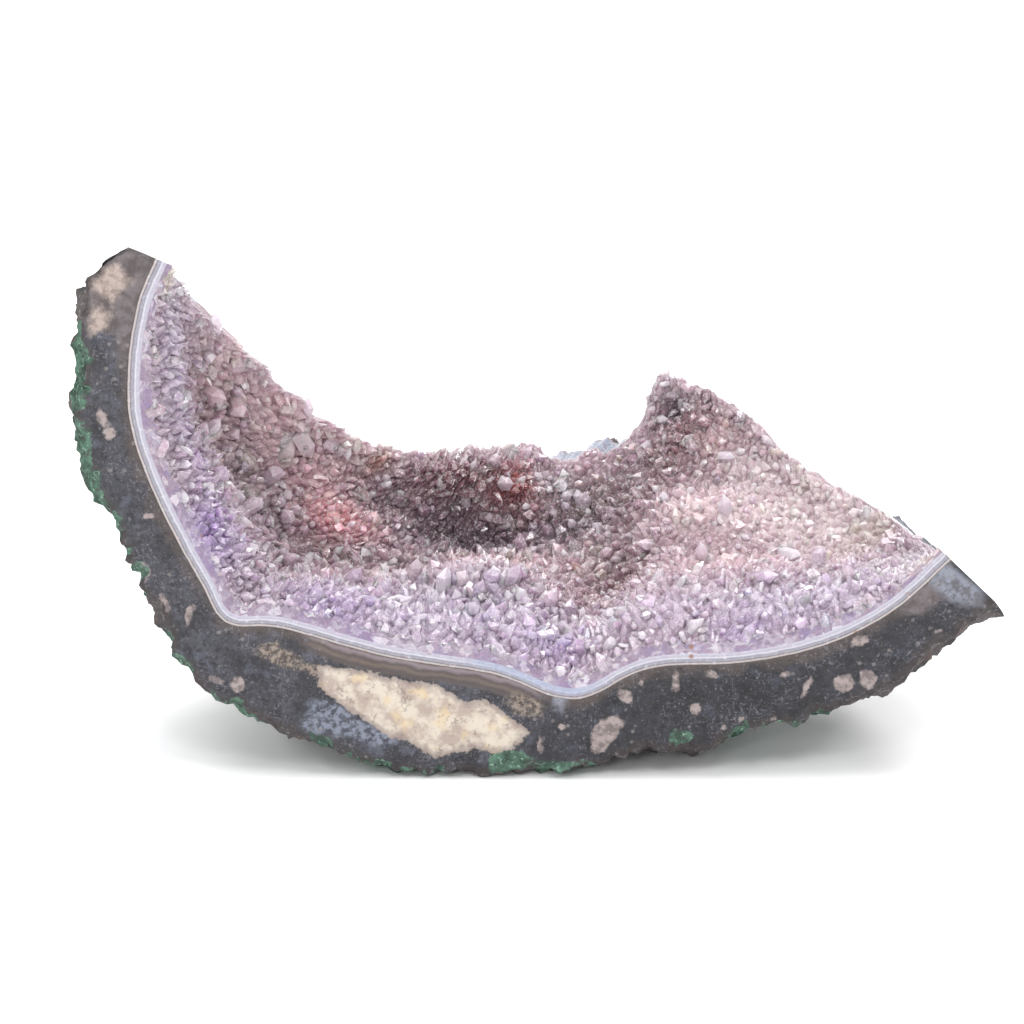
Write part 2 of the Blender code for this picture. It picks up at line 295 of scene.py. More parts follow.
# The green of the outer skin: how strong, how large and how rare its patches are, how far behind the sawn
# face they start, how high and how far right they reach, and its largest patches as middle x, z, half width
# and half height.
GREEN_HEIGHT = 5.0
GREEN_GRAIN = 17.0
GREEN_RARITY = 0.12
GREEN_START = 0.5
GREEN_TOP = 78.0
GREEN_RIGHT = 52.0
GREEN_SKIN = [(-72, 50, 6, 13), (-71, 69, 4, 7), (-58, 22, 5, 4), (46, 9, 6, 3)]

# Crystals that reach the sawn face are cut off this far behind it, and start this far up from it. The quartz
# has a ragged edge in this zone.
CRYSTAL_SAWN = (0.04, 0.5)
FIRST_CRYSTALS = 0.15
CUT_ZONE = 3.5
CRYSTAL_SEED = 31

# Near the sawn face the crystals lean this way, and this much.
FRONT_WAY = (0, -1, 0.3)
FRONT_LEAN = 0.4
FRONT_ZONE = 9.0

# Crystals differ in lightness and in colour by this much. These shares of them are milky, by so much, and
# dark, down to so much of their light. None is brighter than this.
LIGHT_SPREAD = 0.10
COLOUR_SPREAD = 0.05
MILKY = (0.16, 0.6)
DARK = (0.03, 0.6)
BRIGHTEST = 0.95

# A crystal: its sides, how far off its axis its corners are, how long its point is, how uneven its shoulders
# and its point are, and how deep its root, all for its radius, and its shoulders' least height. At the tips
# of the shell it has this share of its size.
SIDES = 6
CORNERS = (0.78, 1.15)
POINT = (0.9, 1.6)
UNEVEN = 0.3
ROOT = 0.9
LEAST_SHOULDER = 0.1
TIP_SIZE = 0.5

# The larger crystals stand in rows, which are this close for the spots in them, each spot moved by up to this
# share of the spacing, and stay this far from the tips and from the rim.
ROW_SPACING = 0.866
SPOT_SPREAD = 0.38
TIP_MARGIN = 0.8
RIM_MARGIN = 0.3

# How far apart the places are that tell which way the crust faces.
FACING_STEP = 0.4

# The crystals are painted lighter this near to the rim, by this share: painted light, as of light shining
# through the rim from behind.
RIM_PAINTED_LIGHT = (5.0, 0.32)

# How much darker the quartz is where it broke off with the rim.
BROKEN_SHADE = 0.75

# Clear stone looks lighter than its mass: its colours are raised to this power.
CLEAR_GAMMA = 0.85

# The meshes that hold the crystals: name, from and to how far along the sawn edge.
CRYSTAL_PIECES = [("crystals_left", 0, 62), ("crystals_middle", 62, 124), ("crystals_right", 124, 200)]

# Where the crystals are larger or smaller: how far along and up, half length, half width, change.
CRYSTAL_SIZES = [
    (106, 14, 20, 10, 0.30),
    (34, 30, 12, 10, 0.2),
    (48, 46, 6, 5, 0.3),
    (112, 54, 16, 8, 0.2),
    (154, 34, 22, 24, -0.35),
]

# Marks are angular: each has so many sides, turned by up to this share of a side and moved at random, and
# fades by this much for each mm behind the sawn face. Far from all marks the value is OUTSIDE.
MARK_SIDES = 6
MARK_TURN = 0.35
MARK_REACH = (0.72, 1.1)
MARK_FADE = 0.5
OUTSIDE = -9.0

# Marks on the sawn face: middle x, z, half width, half height and the turn in degrees.
PALE_BLOTCHES = [
    (-63, 37, 1.2, 1.9, 10),
    (-60, 31.5, 1.0, 1.8, 15),
    (-48.5, 17, 1.2, 1.4, 0),
    (-52, 18, 1.3, 0.6, -20),
    (-62, 46.5, 0.8, 0.6, 0),
    (-56, 29.5, 0.6, 2.0, -20),
    (-68.5, 63, 0.8, 1.3, 0),
    (-67.5, 60.5, 0.9, 0.9, 0),
    (11.5, 8.5, 1.7, 3.8, -25),
    (4.5, 9.5, 0.7, 0.8, 0),
    (1, 6.5, 0.6, 1.6, 0),
    (15, 15, 1.0, 1.5, 35),
    (23, 17.5, 0.6, 1.8, 0),
    (29, 19, 1.0, 0.8, 0),
    (26.5, 13, 0.9, 1.0, 0),
    (41, 19, 0.8, 0.6, 0),
    (44.5, 16.5, 0.5, 1.9, -25),
    (50.5, 17.5, 1.7, 1.8, 20),
    (54.5, 18, 1.6, 1.9, 40),
    (53, 25, 1.4, 0.8, 15),
    (34, 11, 0.5, 0.5, 0),
    (31, 9.5, 0.5, 0.5, 0),
    (39.5, 11, 0.6, 0.5, 0),
    (17.5, 17.5, 0.5, 0.5, 0),
    (65.5, 26.5, 0.9, 0.5, 20),
]
CREAM_PATCH = [
    (-30, 16.2, 6.6, 4.0, -22),
    (-24, 13.6, 7.4, 5.4, -22),
    (-16, 11.0, 8.0, 5.8, -14),
    (-7.5, 9.6, 6.5, 4.4, -16),
]
BLUE_PATCH = [(-33.5, 10.8, 5.5, 3.4, -25), (-27, 8.0, 4.5, 2.2, -15)]
BROWN_PATCH = [(-42, 22.4, 4.0, 1.8, -20), (-36, 19.8, 3.0, 1.2, -18), (-1.5, 13.4, 3.4, 1.7, -30)]
ASH_BLOTCHES = [(-60, 88, 8.5, 7, 0), (-65, 84, 4.5, 6, -20), (-62, 77, 3.6, 6, 10), (61.7, 32, 4, 3, 20)]
SAND_BLOTCHES = [(-66.3, 85.0, 2.6, 3.2, -25), (-68.4, 79.2, 1.9, 2.0, -5)]
ICE_BLOTCHES = [(67.5, 35.0, 6.5, 2.8, -35), (4.0, 14.5, 1.2, 2.2, 20)]
MARKS = [
    ("pale", PALE_BLOTCHES),
    ("cream", CREAM_PATCH),
    ("ash", ASH_BLOTCHES),
    ("sand", SAND_BLOTCHES),
    ("ice", ICE_BLOTCHES),
    ("blue", BLUE_PATCH),
    ("brown", BROWN_PATCH),
]
GREEN_BLOTCHES = [
    (-73, 52, 3.0, 13, 4),
    (-72.5, 75, 1.6, 5, 0),
    (-4.5, 3.0, 4.2, 2.2, 15),
    (2.5, 2.2, 4.5, 1.4, 5),
    (24, 7.5, 2.4, 2.0, 20),
    (41, 9.5, 2.4, 0.9, 15),
]


def tone(*display):
    """The linear colour of display values from 0 to 255."""
    shares = [value / 255 for value in display]
    return tuple(share / 12.92 if share < 0.04045 else ((share + 0.055) / 1.055) ** 2.4 for share in shares)


# Colours of the quartz and a painted shade for its crevices, then where they lie: how far along and up, half
# length, half width, strength, colour.
MAUVE = tone(178, 150, 160)
LILAC = tone(184, 170, 196)
PURPLE = tone(150, 124, 184)
PINK = tone(222, 184, 186)
BLUSH = tone(232, 212, 214)
RUST = tone(234, 190, 194)
UMBER = tone(102, 60, 60)
BARK = tone(92, 72, 68)
ORANGE = tone(196, 140, 104)
BRICK = tone(220, 138, 140)
MAROON = tone(98, 48, 52)
EMBER = tone(140, 42, 30)
# Painted shade: a dark colour laid in the crevice under the overhanging lump and in other dips of the crust.
CREVICE_SHADE = tone(74, 60, 70)
OLIVE = tone(122, 104, 100)
PEARL = tone(206, 194, 204)
MILK = tone(232, 222, 234)
STRAW = tone(212, 200, 170)
ICE = tone(150, 160, 180)
ZONES = [
    (16, 6, 22, 7, 0.75, LILAC),
    (36, 8, 14, 4, 0.3, PURPLE),
    (96, 6, 44, 12, 0.85, LILAC),
    (165, 6, 28, 9, 0.8, LILAC),
    (26, 13, 10, 7, 0.6, LILAC),
    (24, 30, 16, 8, 0.7, RUST),
    (42, 44, 14, 8, 0.75, RUST),
    (54, 55, 8, 7, 0.7, RUST),
    (46, 30, 10, 7, 0.55, OLIVE),
    (62, 61, 3, 4, 0.8, ORANGE),
    (50, 2, 7, 6, 0.85, PURPLE),
    (80, 2, 6, 5, 0.5, PURPLE),
    (119, 6, 6, 4, 0.5, PURPLE),
    (153, 1, 5, 3, 0.5, PURPLE),
    (65, 44, 9, 7, 0.85, BRICK),
    (70, 34, 9, 4, 0.6, OLIVE),
    (84, 37, 8, 6, 0.4, OLIVE),
    (84, 61, 19, 7, 0.9, MAROON),
    (92, 70, 16, 2.5, 0.6, MAUVE),
    (102, 61, 7, 5, 1.0, EMBER),
    # Painted shade in the crevice under the overhanging lump and in other dips of the crust.
    (94, 52, 18, 5, 0.9, CREVICE_SHADE),
    (70, 53, 6, 3, 0.6, CREVICE_SHADE),
    (117, 56, 7, 4, 0.75, CREVICE_SHADE),
    (124, 46, 9, 6, 0.6, OLIVE),
    (120, 62, 11, 6, 0.9, BARK),
    (111, 67, 4, 2, 0.5, PEARL),
    (104, 42, 13, 4, 0.75, PINK),
    (104, 16, 20, 9, 0.5, LILAC),
    (147, 40, 13, 7, 0.75, PINK),
    (128, 32, 9, 8, 0.9, UMBER),
    (151, 24, 14, 5, 0.4, RUST),
    (126, 24, 8, 6, 0.5, UMBER),
    (141, 60, 11, 9, 0.9, UMBER),
    (134, 52, 7, 5, 0.6, UMBER),
    # Painted shade in a small hollow of the crust.
    (139, 66, 2.5, 2.5, 0.95, CREVICE_SHADE),
    (149, 58, 5, 4, 0.5, PINK),
    (137, 73, 5, 3, 0.6, PEARL),
    (168, 40, 18, 10, 0.85, BLUSH),
    (158, 52, 10, 6, 0.5, BLUSH),
    (177, 31, 7, 4, 0.4, STRAW),
    (182, 14, 10, 8, 0.6, PEARL),
    (190, 3, 5, 6, 0.6, STRAW),
    (1, 1, 4, 4, 0.8, STRAW),
]

# The stripes of the rock along the agate and the bands of the agate, as colours at shares of their width. Then
# the stripes' width, where along the edge they fade in and out, how much the bands waver, and where they are
# bluish.
STRIPES = [
    (0.0, tone(70, 60, 60)),
    (0.16, tone(92, 78, 74)),
    (0.26, tone(130, 118, 124)),
    (0.32, tone(116, 104, 108)),
    (0.40, tone(78, 68, 68)),
    (0.52, tone(104, 90, 82)),
    (0.64, tone(74, 66, 66)),
    (0.85, tone(88, 78, 74)),
]
BANDS = [
    (0.0, tone(104, 90, 88)),
    (0.07, tone(176, 166, 164)),
    (0.16, tone(176, 168, 168)),
    (0.22, tone(108, 102, 108)),
    (0.34, tone(146, 143, 152)),
    (0.52, tone(138, 137, 148)),
    (0.62, tone(196, 194, 202)),
    (0.74, tone(166, 163, 176)),
    (1.0, tone(178, 172, 186)),
]

STRIPES_WIDTH = 5.0
STRIPES_ALONG = (76, 81, 114, 121)
WAVER = 0.22
BLUE_ALONG = (100, 110, 124, 132)

# The paints: a ground, or none for what lies over another colour, and then stains, each with the size, detail
# and roughness of its noise, the values between which it fades in, how much it covers, and its colour.
PAINTS = {
    "rock": [
        (52, 50, 54),
        (7, 3, 0.55, 0.35, 0.65, 1, (88, 82, 82)),
        (2.2, 3, 0.55, 0.5, 0.72, 0.8, (98, 82, 74)),
        (0.7, 3, 0.55, 0.55, 0.72, 1, (134, 126, 122)),
    ],
    "splinters": [None, (3, 3, 0.55, 0.4, 0.7, 1, (108, 96, 94))],
    "bluish": [
        (124, 127, 138),
        (2.6, 5, 0.7, 0.42, 0.62, 1, (80, 78, 84)),
        (0.8, 4, 0.7, 0.55, 0.68, 0.6, (148, 148, 154)),
    ],
    "green": [
        (36, 58, 48),
        (2.5, 3, 0.55, 0.35, 0.65, 1, (78, 112, 94)),
        (0.6, 3, 0.55, 0.55, 0.72, 1, (132, 164, 144)),
        (1.4, 3, 0.55, 0.56, 0.7, 1, (52, 48, 48)),
    ],
    "charcoal": [
        (38, 38, 45),
        (5, 3, 0.55, 0.35, 0.65, 1, (64, 64, 72)),
        (1.1, 5, 0.7, 0.42, 0.66, 0.85, (28, 27, 32)),
        (3.4, 3, 0.55, 0.54, 0.7, 0.5, (88, 92, 106)),
    ],
    "grit": [
        None,
        (0.45, 4, 0.75, 0.58, 0.67, 0.5, (136, 133, 140)),
        (0.7, 4, 0.7, 0.44, 0.36, 0.7, (24, 23, 27)),
    ],
    "ash": [
        (76, 68, 68),
        (2.2, 4, 0.6, 0.38, 0.62, 1, (104, 96, 98)),
        (0.9, 4, 0.7, 0.55, 0.7, 0.7, (92, 82, 82)),
    ],
    "sand": [(176, 160, 150), (1, 4, 0.7, 0.4, 0.65, 1, (132, 118, 112))],
    "ice": [(128, 132, 144), (1.6, 5, 0.7, 0.4, 0.62, 1, (88, 86, 92))],
    "blue": [(60, 61, 72), (1, 4, 0.7, 0.4, 0.6, 1, (128, 134, 150))],
    "brown": [(70, 62, 58), (0.9, 4, 0.7, 0.42, 0.6, 1, (146, 132, 120))],
    "pale": [(112, 101, 100), (1.2, 3, 0.6, 0.38, 0.62, 1, (160, 147, 144))],
    "cream": [
        (166, 150, 140),
        (2.6, 4, 0.6, 0.38, 0.62, 1, (200, 190, 176)),
        (4.2, 3, 0.55, 0.54, 0.66, 0.6, (204, 182, 144)),
    ],
    "crumbs": [None, (1.2, 5, 0.7, 0.58, 0.7, 0.8, (134, 120, 114))],
    "haze": [None, (0.8, 3, 0.55, 0.55, 0.75, 0.4, (214, 212, 222))],
    "purple": [None, (4, 3, 0.6, 0.5, 0.62, 0.5, (130, 112, 150))],
    "veins": [
        None,
        (2.6, 4, 0.7, 0.5, 0.64, 0.6, (184, 178, 188)),
        (0.5, 4, 0.7, 0.54, 0.7, 0.6, (112, 98, 120)),
    ],
    "quartz_druse": [
        None,
        (0.8, 5, 0.7, 0.46, 0.68, 0.42, (232, 224, 232)),
        (1.7, 3, 0.6, 0.5, 0.66, 0.5, (116, 90, 100)),
        (0.4, 4, 0.7, 0.55, 0.64, 0.45, (248, 242, 248)),
    ],
    "quartz_crystals": [
        None,
        (0.8, 5, 0.7, 0.44, 0.66, 0.6, (236, 228, 236)),
        (0.4, 4, 0.7, 0.55, 0.64, 0.45, (248, 242, 248)),
    ],
}

# Patches of the sawn face, under its specks and over them: mark, size and width of the noise that frays it,
# how soft its edge is, and how much it covers. The cream patch lies over those, and the green over it.
LOWER_PATCHES = [
    ("ash", 3.0, 4.0, 0.8, 1),
    ("sand", 2.2, 4.5, 1.0, 0.85),
    ("ice", 1.6, 3.6, 0.7, 1),
    ("blue", 2.2, 3.4, 0.8, 0.8),
    ("brown", 1.6, 2.2, 0.5, 0.85),
]
UPPER_PATCHES = [("pale", 1.4, 1.3, 0.2, 0.9)]
CREAM_EDGE = (1.3, 2.4, 0.2)
GREEN_PATCHES = [("green", 1.0, 1.6, 0.15, 1)]

# Frayed edges: width, size, detail and roughness of the noise, from where and to where the edge fades in, how
# much it covers, and its colour.
EDGES = {
    "inner": (5.0, 3.0, 3, 0.55, 5.0, 2.6, 0.75, (78, 67, 63)),
    "outer": (3.0, 1.6, 3, 0.55, 3.8, 1.4, 0.8, (56, 46, 44)),
    "cream": (2.4, 1.2, 4, 0.7, 2.6, 1.4, 0.7, (126, 114, 110)),
}

# Round specks: the size of their cells, where they fade in and are full, the size of the patches that they
# come in and the noise's values there, how much they cover, and their colour.
SPECKS = {
    "bubbles": (1.9, 0.24, 0.12, 5, 0.48, 0.6, 0.55, (136, 128, 126)),
    "agate_rust": (2.6, 0.22, 0.14, 9, 0.52, 0.6, 0.85, (134, 92, 66)),
    "quartz_rust": (3.1, 0.2, 0.12, 9, 0.5, 0.58, 0.8, (146, 104, 78)),
}

# Light flecks of the sawn face: how they are stretched, their size and how much they cover.
FLECKS = [((1.7, 0.6, 1), 0.8, 0.45), ((0.55, 1.5, 1), 0.8, 0.4), ((1, 1, 1), 0.4, 0.4)]

# On the skin: the green's edge, and the size, depth and strength of the pits. At the broken rim: width and
# size of the noise, where the bluish end starts and is full, and how much it covers. On the sawn face: from
# and to how far along it grows darker, and the least and most of that.
SKIN_GREEN = (3.0, 3.5, 0.25)
SKIN_PITS = (1.3, 0.3, 0.6)
BLUISH_END = (8.0, 6.0, 164, 176, 0.8)
RIGHT_SHADE = (112, 128, 0, 0.8)

# Each material's fine relief, as size, detail and roughness of its noise, depth and strength. Its gloss, as
# size of the noise, the value up to which it is glossiest, and the least and greatest roughness, which it
# reaches at DULL.
RELIEF = {
    "basalt_skin": (0.5, 5, 0.65, 0.35, 1),
    "basalt_broken": (0.45, 5, 0.65, 0.3, 1),
    "basalt_sawn": (0.4, 4, 0.6, 0.08, 1),
    "agate_bands": (0.5, 3, 0.55, 0.03, 1),
    "quartz_druse": (0.35, 3, 0.6, 0.06, 0.8),
    "quartz_crystals": (0.35, 3, 0.6, 0.06, 0.8),
}
DULL = 0.7
GLOSS = {
    "basalt_skin": (1.5, 0.3, 0.75, 0.95),
    "basalt_broken": (1.5, 0.3, 0.7, 0.92),
    "basalt_sawn": (1.2, 0.3, 0.42, 0.66),
    "agate_bands": (1.5, 0.3, 0.2, 0.34),
    "quartz_sawn": (0.9, 0.3, 0.12, 0.4),
    "quartz_druse": (0.8, 0.35, 0.02, 0.09),
    "quartz_crystals": (0.9, 0.35, 0.02, 0.1),
}

# How clear the crystals are, their index of refraction, how brightly they glint, and the colour and density
# of what absorbs light in the larger ones.
CLEARNESS = 0.3
QUARTZ_IOR = 1.544
QUARTZ_SPARKLE = 0.9
WITHIN_COLOUR = (0.8, 0.6, 0.9)
WITHIN_DENSITY = 30.0

# How the milky share of the quartz scatters light: its share, its reach in metres and shares of it by colour.
MILKINESS = 0.7
SCATTER_SCALE = 0.0025
SCATTER_REACH = (1.0, 0.8, 1.0)
CLEAR = {
    "Transmission_Weight": CLEARNESS,
    "IOR": QUARTZ_IOR,
    "Specular_IOR_Level": QUARTZ_SPARKLE,
    "Subsurface_Weight": MILKINESS,
    "Subsurface_Scale": SCATTER_SCALE,
    "Subsurface_Radius": SCATTER_REACH,
}


def smoothstep(x):
    """Rises smoothly from 0 at 0 to 1 at 1."""
    x = np.clip(x, 0.0, 1.0)
    return x * x * (3 - 2 * x)


def unit(vectors):
    """Vectors of the same directions, of length 1."""
    return vectors / np.linalg.norm(vectors, axis=-1, keepdims=True)


def spline(table, stations):
    """The smooth curve through the rows of a table, read at fractional row numbers."""
    last = len(table) - 1
    first = np.clip(np.floor(stations).astype(int), 0, last - 1)
    f = (stations - first)[:, None]
    before, after = np.clip(first - 1, 0, last), np.clip(first + 2, 0, last)
    p0, p1, p2, p3 = table[before], table[first], table[first + 1], table[after]
    return 0.5 * (
        2 * p1 + (p2 - p0) * f + (2 * p0 - 5 * p1 + 4 * p2 - p3) * f**2 + (3 * p1 - p0 - 3 * p2 + p3) * f**3
    )


def evened(rows, width):
    """Rows averaged with their neighbours along the sawn edge, weighted by a bell curve of this width."""
    reach = int(3 * width)
    offsets = np.arange(-reach, reach + 1)
    weights = np.exp(-0.5 * (offsets / width) ** 2)
    places = np.clip(np.arange(len(rows))[:, None] + offsets, 0, len(rows) - 1)
    return np.tensordot(rows[places], weights / weights.sum(), axes=(1, 0))


class Shell:
    """The lofted surface between the rind and what lines it, sampled along the sawn edge and up the ribs."""

    def __init__(self):
        starts = np.array([(x, 0.0, z) for (x, z), _, _, _ in RIBS])
        ends = np.array([end for _, _, end, _ in RIBS], float)
        sizes = np.array([(thick, bow) for _, thick, _, bow in RIBS], float)

        fine = np.linspace(0, len(RIBS) - 1, 2001)
        steps = np.linalg.norm(np.diff(spline(starts, fine), axis=0), axis=1)
        run = np.concatenate([[0.0], np.cumsum(steps)])
        self.length = run[-1]
        stations = np.interp(np.linspace(0, self.length, ALONG), run, fine)
        start, end, size = (spline(table, stations) for table in (starts, ends, sizes))

        chord = end - start
        tangent = evened(np.gradient(start, axis=0), EVENING * ALONG / self.length)
        outward = unit(evened(unit(np.cross(chord, tangent)), EVENING * ALONG / self.length))
        up = np.linspace(0, 1, UP)[None, :, None]
        bow = size[:, 1][:, None, None] * 4 * up * (1 - up)
        self.surface = start[:, None] + chord[:, None] * up + outward[:, None] * bow
        self.ribs = np.linalg.norm(np.diff(self.surface, axis=1), axis=2).sum(axis=1)

        normal = unit(np.cross(np.gradient(self.surface, axis=1), np.gradient(self.surface, axis=0)))
        normal = evened(normal, DEEP_EVENING * ALONG / self.length)
        in_plane = unit(np.stack([tangent[:, 2], np.zeros(ALONG), -tangent[:, 0]], axis=1))[:, None]
        turned = smoothstep(up * self.ribs[:, None, None] / SQUARE_ZONE)
        self.outward = unit(in_plane * (1 - turned) + unit(normal) * turned)
        self.front_rind = size[:, 0]

    def rib(self, along):
        """How long the ribs are at these places along the sawn edge."""
        return np.interp(along, np.linspace(0, self.length, ALONG), self.ribs)

    def read(self, grid, along, up):
        """The values of a grid at these places, up being a share of the rib."""
        i = np.clip(along / self.length * (ALONG - 1), 0, ALONG - 1.001)
        j = np.clip(up * (UP - 1), 0, UP - 1.001)
        i0, j0 = i.astype(int), j.astype(int)
        fi, fj = (i - i0)[:, None], (j - j0)[:, None]
        near = grid[i0, j0] * (1 - fj) + grid[i0, j0 + 1] * fj
        far = grid[i0 + 1, j0] * (1 - fj) + grid[i0 + 1, j0 + 1] * fj
        return near * (1 - fi) + far * fi

    def crust(self, along):
        """How thick the quartz is under its crystals; it thins towards both tips."""
        from_tip = np.minimum(along, self.length - along)
        return TIP_CRUST + (CRUST - TIP_CRUST) * smoothstep(from_tip / TIP_TAPER)

    def bare(self, along):
        """How far the crust's edge stands back from the rim."""
        middle, radius, back = BARE_RIM
        return back * smoothstep(2 - abs(along - middle) / radius)

    def place(self, spots, depth):
        """Points for spots (along, up the rib), at one or many depths outwards from the rind's inner face."""
        along, high = spots[:, 0], spots[:, 1]
        rib = self.rib(along)
        lining = AGATE + self.crust(along)
        slope = np.interp(along, *np.transpose(RIM_SLOPE))
        bared = self.bare(along) * np.clip(-(depth + AGATE) / CRUST, 0, 1)
        lowered = slope * (depth + lining).clip(0) + bared
        up = (high - lowered * smoothstep(high / rib) ** 2) / rib
        offset = depth + lining * smoothstep(up)
        return self.read(self.surface, along, up) + self.read(self.outward, along, up) * offset[:, None]


def bumps(spots, forms):
    """The summed height of round forms, each (along, up, half length, half width, height)."""
    height = np.zeros(len(spots))
    for along, up, long, wide, high in forms:
        across = ((spots[:, 0] - along) / long) ** 2 + ((spots[:, 1] - up) / wide) ** 2
        height += high * np.exp(-across)
    return height


def roughness(points, grain):
    """Rough rock: noise of this grain at these points, about -1 to 1."""
    return np.array([noise.fractal(Vector(p) / grain, *ROCK_NOISE) for p in points])


def lumps(points, grain):
    """Rounded lumps of this size with creases between them, about 0 to 1."""
    return np.array([1 - noise.voronoi(Vector(p) / grain)[0][0] for p in points])


def rock_depth(shell, spots):
    """How thick the rind is at these spots, with its lumps and its rough skin."""
    along, rib = spots[:, 0], shell.rib(spots[:, 0])
    front = np.interp(along, np.linspace(0, shell.length, ALONG), shell.front_rind)
    thick = front + (RIM_RIND - front) * smoothstep(spots[:, 1] / rib) * smoothstep(rib / LONG_RIB)
    thick += bumps(spots, [(x, y, radius, radius, high) for x, y, radius, high in LUMPS])
    smooth = shell.place(spots, thick)
    rough = sum(height * (lumps(smooth, size) - 0.5) for size, height in SKIN_LUMPS)
    for grain, height in SKIN_NOISE + FINE_NOISE:
        rough += height * roughness(smooth, grain)
    from_tip = np.minimum(along, shell.length - along)
    return thick + rough * (TIP_SHARE + (1 - TIP_SHARE) * smoothstep(from_tip / CALM_TIP))


def crust_depth(shell, spots):
    """How far inwards the crust's base reaches at these spots, with its mounds and hollows."""
    rib = shell.rib(spots[:, 0])
    crust = shell.crust(spots[:, 0])
    inside = smoothstep(spots[:, 1] / FRONT_FADE) * smoothstep((rib - spots[:, 1]) / RIM_FADE + RIM_REST)
    thin = FRONT_THIN * smoothstep(1 - spots[:, 1] / FRONT_FADE) * smoothstep(crust / CRUST)
    return -(AGATE + crust + bumps(spots, MOUNDS) * inside - thin)


def jags(along, noises):
    """Jagged heights along an edge, from noises given as (size, row of the noise, weight)."""
    heights = np.zeros(len(along))
    for grain, row, weight in noises:
        heights += weight * np.array([noise.noise((a / grain, row, 0)) for a in along])
    return heights


def broken_rim(shell, along):
    """How far up each rib the broken rim lies."""
    rib = shell.rib(along)
    depth = RIM_JAGS * (JAG_MEAN + (1 - JAG_MEAN) * jags(along, JAG_NOISE))
    return rib - np.clip(depth, 0, JAG_LIMIT * rib)


def blotches(points, marks, seed):
    """How far inside the angular marks these points lie, in mm, and below 0 outside them."""
    rng = np.random.default_rng(seed)
    inside = np.full(len(points), OUTSIDE)
    for x, z, half_width, half_height, turn in marks:
        angle = math.radians(turn)
        across, high = points[:, 0] - x, points[:, 2] - z
        one = (across * math.cos(angle) + high * math.sin(angle)) / half_width
        other = (high * math.cos(angle) - across * math.sin(angle)) / half_height
        far = np.zeros(len(points))
        for side in range(MARK_SIDES):
            facing = (side + rng.uniform(-MARK_TURN, MARK_TURN)) * 2 * math.pi / MARK_SIDES
            away = one * math.cos(facing) + other * math.sin(facing)
            far = np.maximum(far, away / rng.uniform(*MARK_REACH))
        inside = np.maximum(inside, (1 - far) * min(half_width, half_height))
    return inside - MARK_FADE * points[:, 1].clip(0)


def green_skin(points):
    """Where the outer skin is green, above 0, and how far from it below 0; the sawn face has none."""
    inside = GREEN_HEIGHT * (roughness(points, GREEN_GRAIN) - GREEN_RARITY)
    for x, z, half_width, half_height in GREEN_SKIN:
        away = np.hypot((points[:, 0] - x) / half_width, (points[:, 2] - z) / half_height)
        inside = np.maximum(inside, (1 - away) * min(half_width, half_height))
    for limit in (points[:, 1] - GREEN_START, GREEN_TOP - points[:, 2], GREEN_RIGHT - points[:, 0]):
        inside = np.minimum(inside, limit)
    return inside


def crystal_scale(spots):
    """How large the crystals are at these spots, 1 being usual."""
    return 1 + bumps(spots, CRYSTAL_SIZES)


def tints(shell, spots):
    """The colour of the quartz at these spots, with alpha, with painted shade in its crevices and painted
    light near the rim.
    """
    tint = np.tile(MAUVE, (len(spots), 1))
    for along, up, long, wide, strength, colour in ZONES:
        weight = bumps(spots, [(along, up, long, wide, strength)])[:, None]
        tint += (np.array(colour) - tint) * weight
    # Painted light: near the rim the tint is mixed towards a pale blush, as if the crystals were lit through
    # from behind.
    width, share = RIM_PAINTED_LIGHT
    painted_light_share = share * smoothstep(1 - (shell.rib(spots[:, 0]) - spots[:, 1]) / width)[:, None]
    tint += (np.array(BLUSH) - tint) * painted_light_share
    return np.concatenate([tint, np.ones((len(spots), 1))], axis=1)


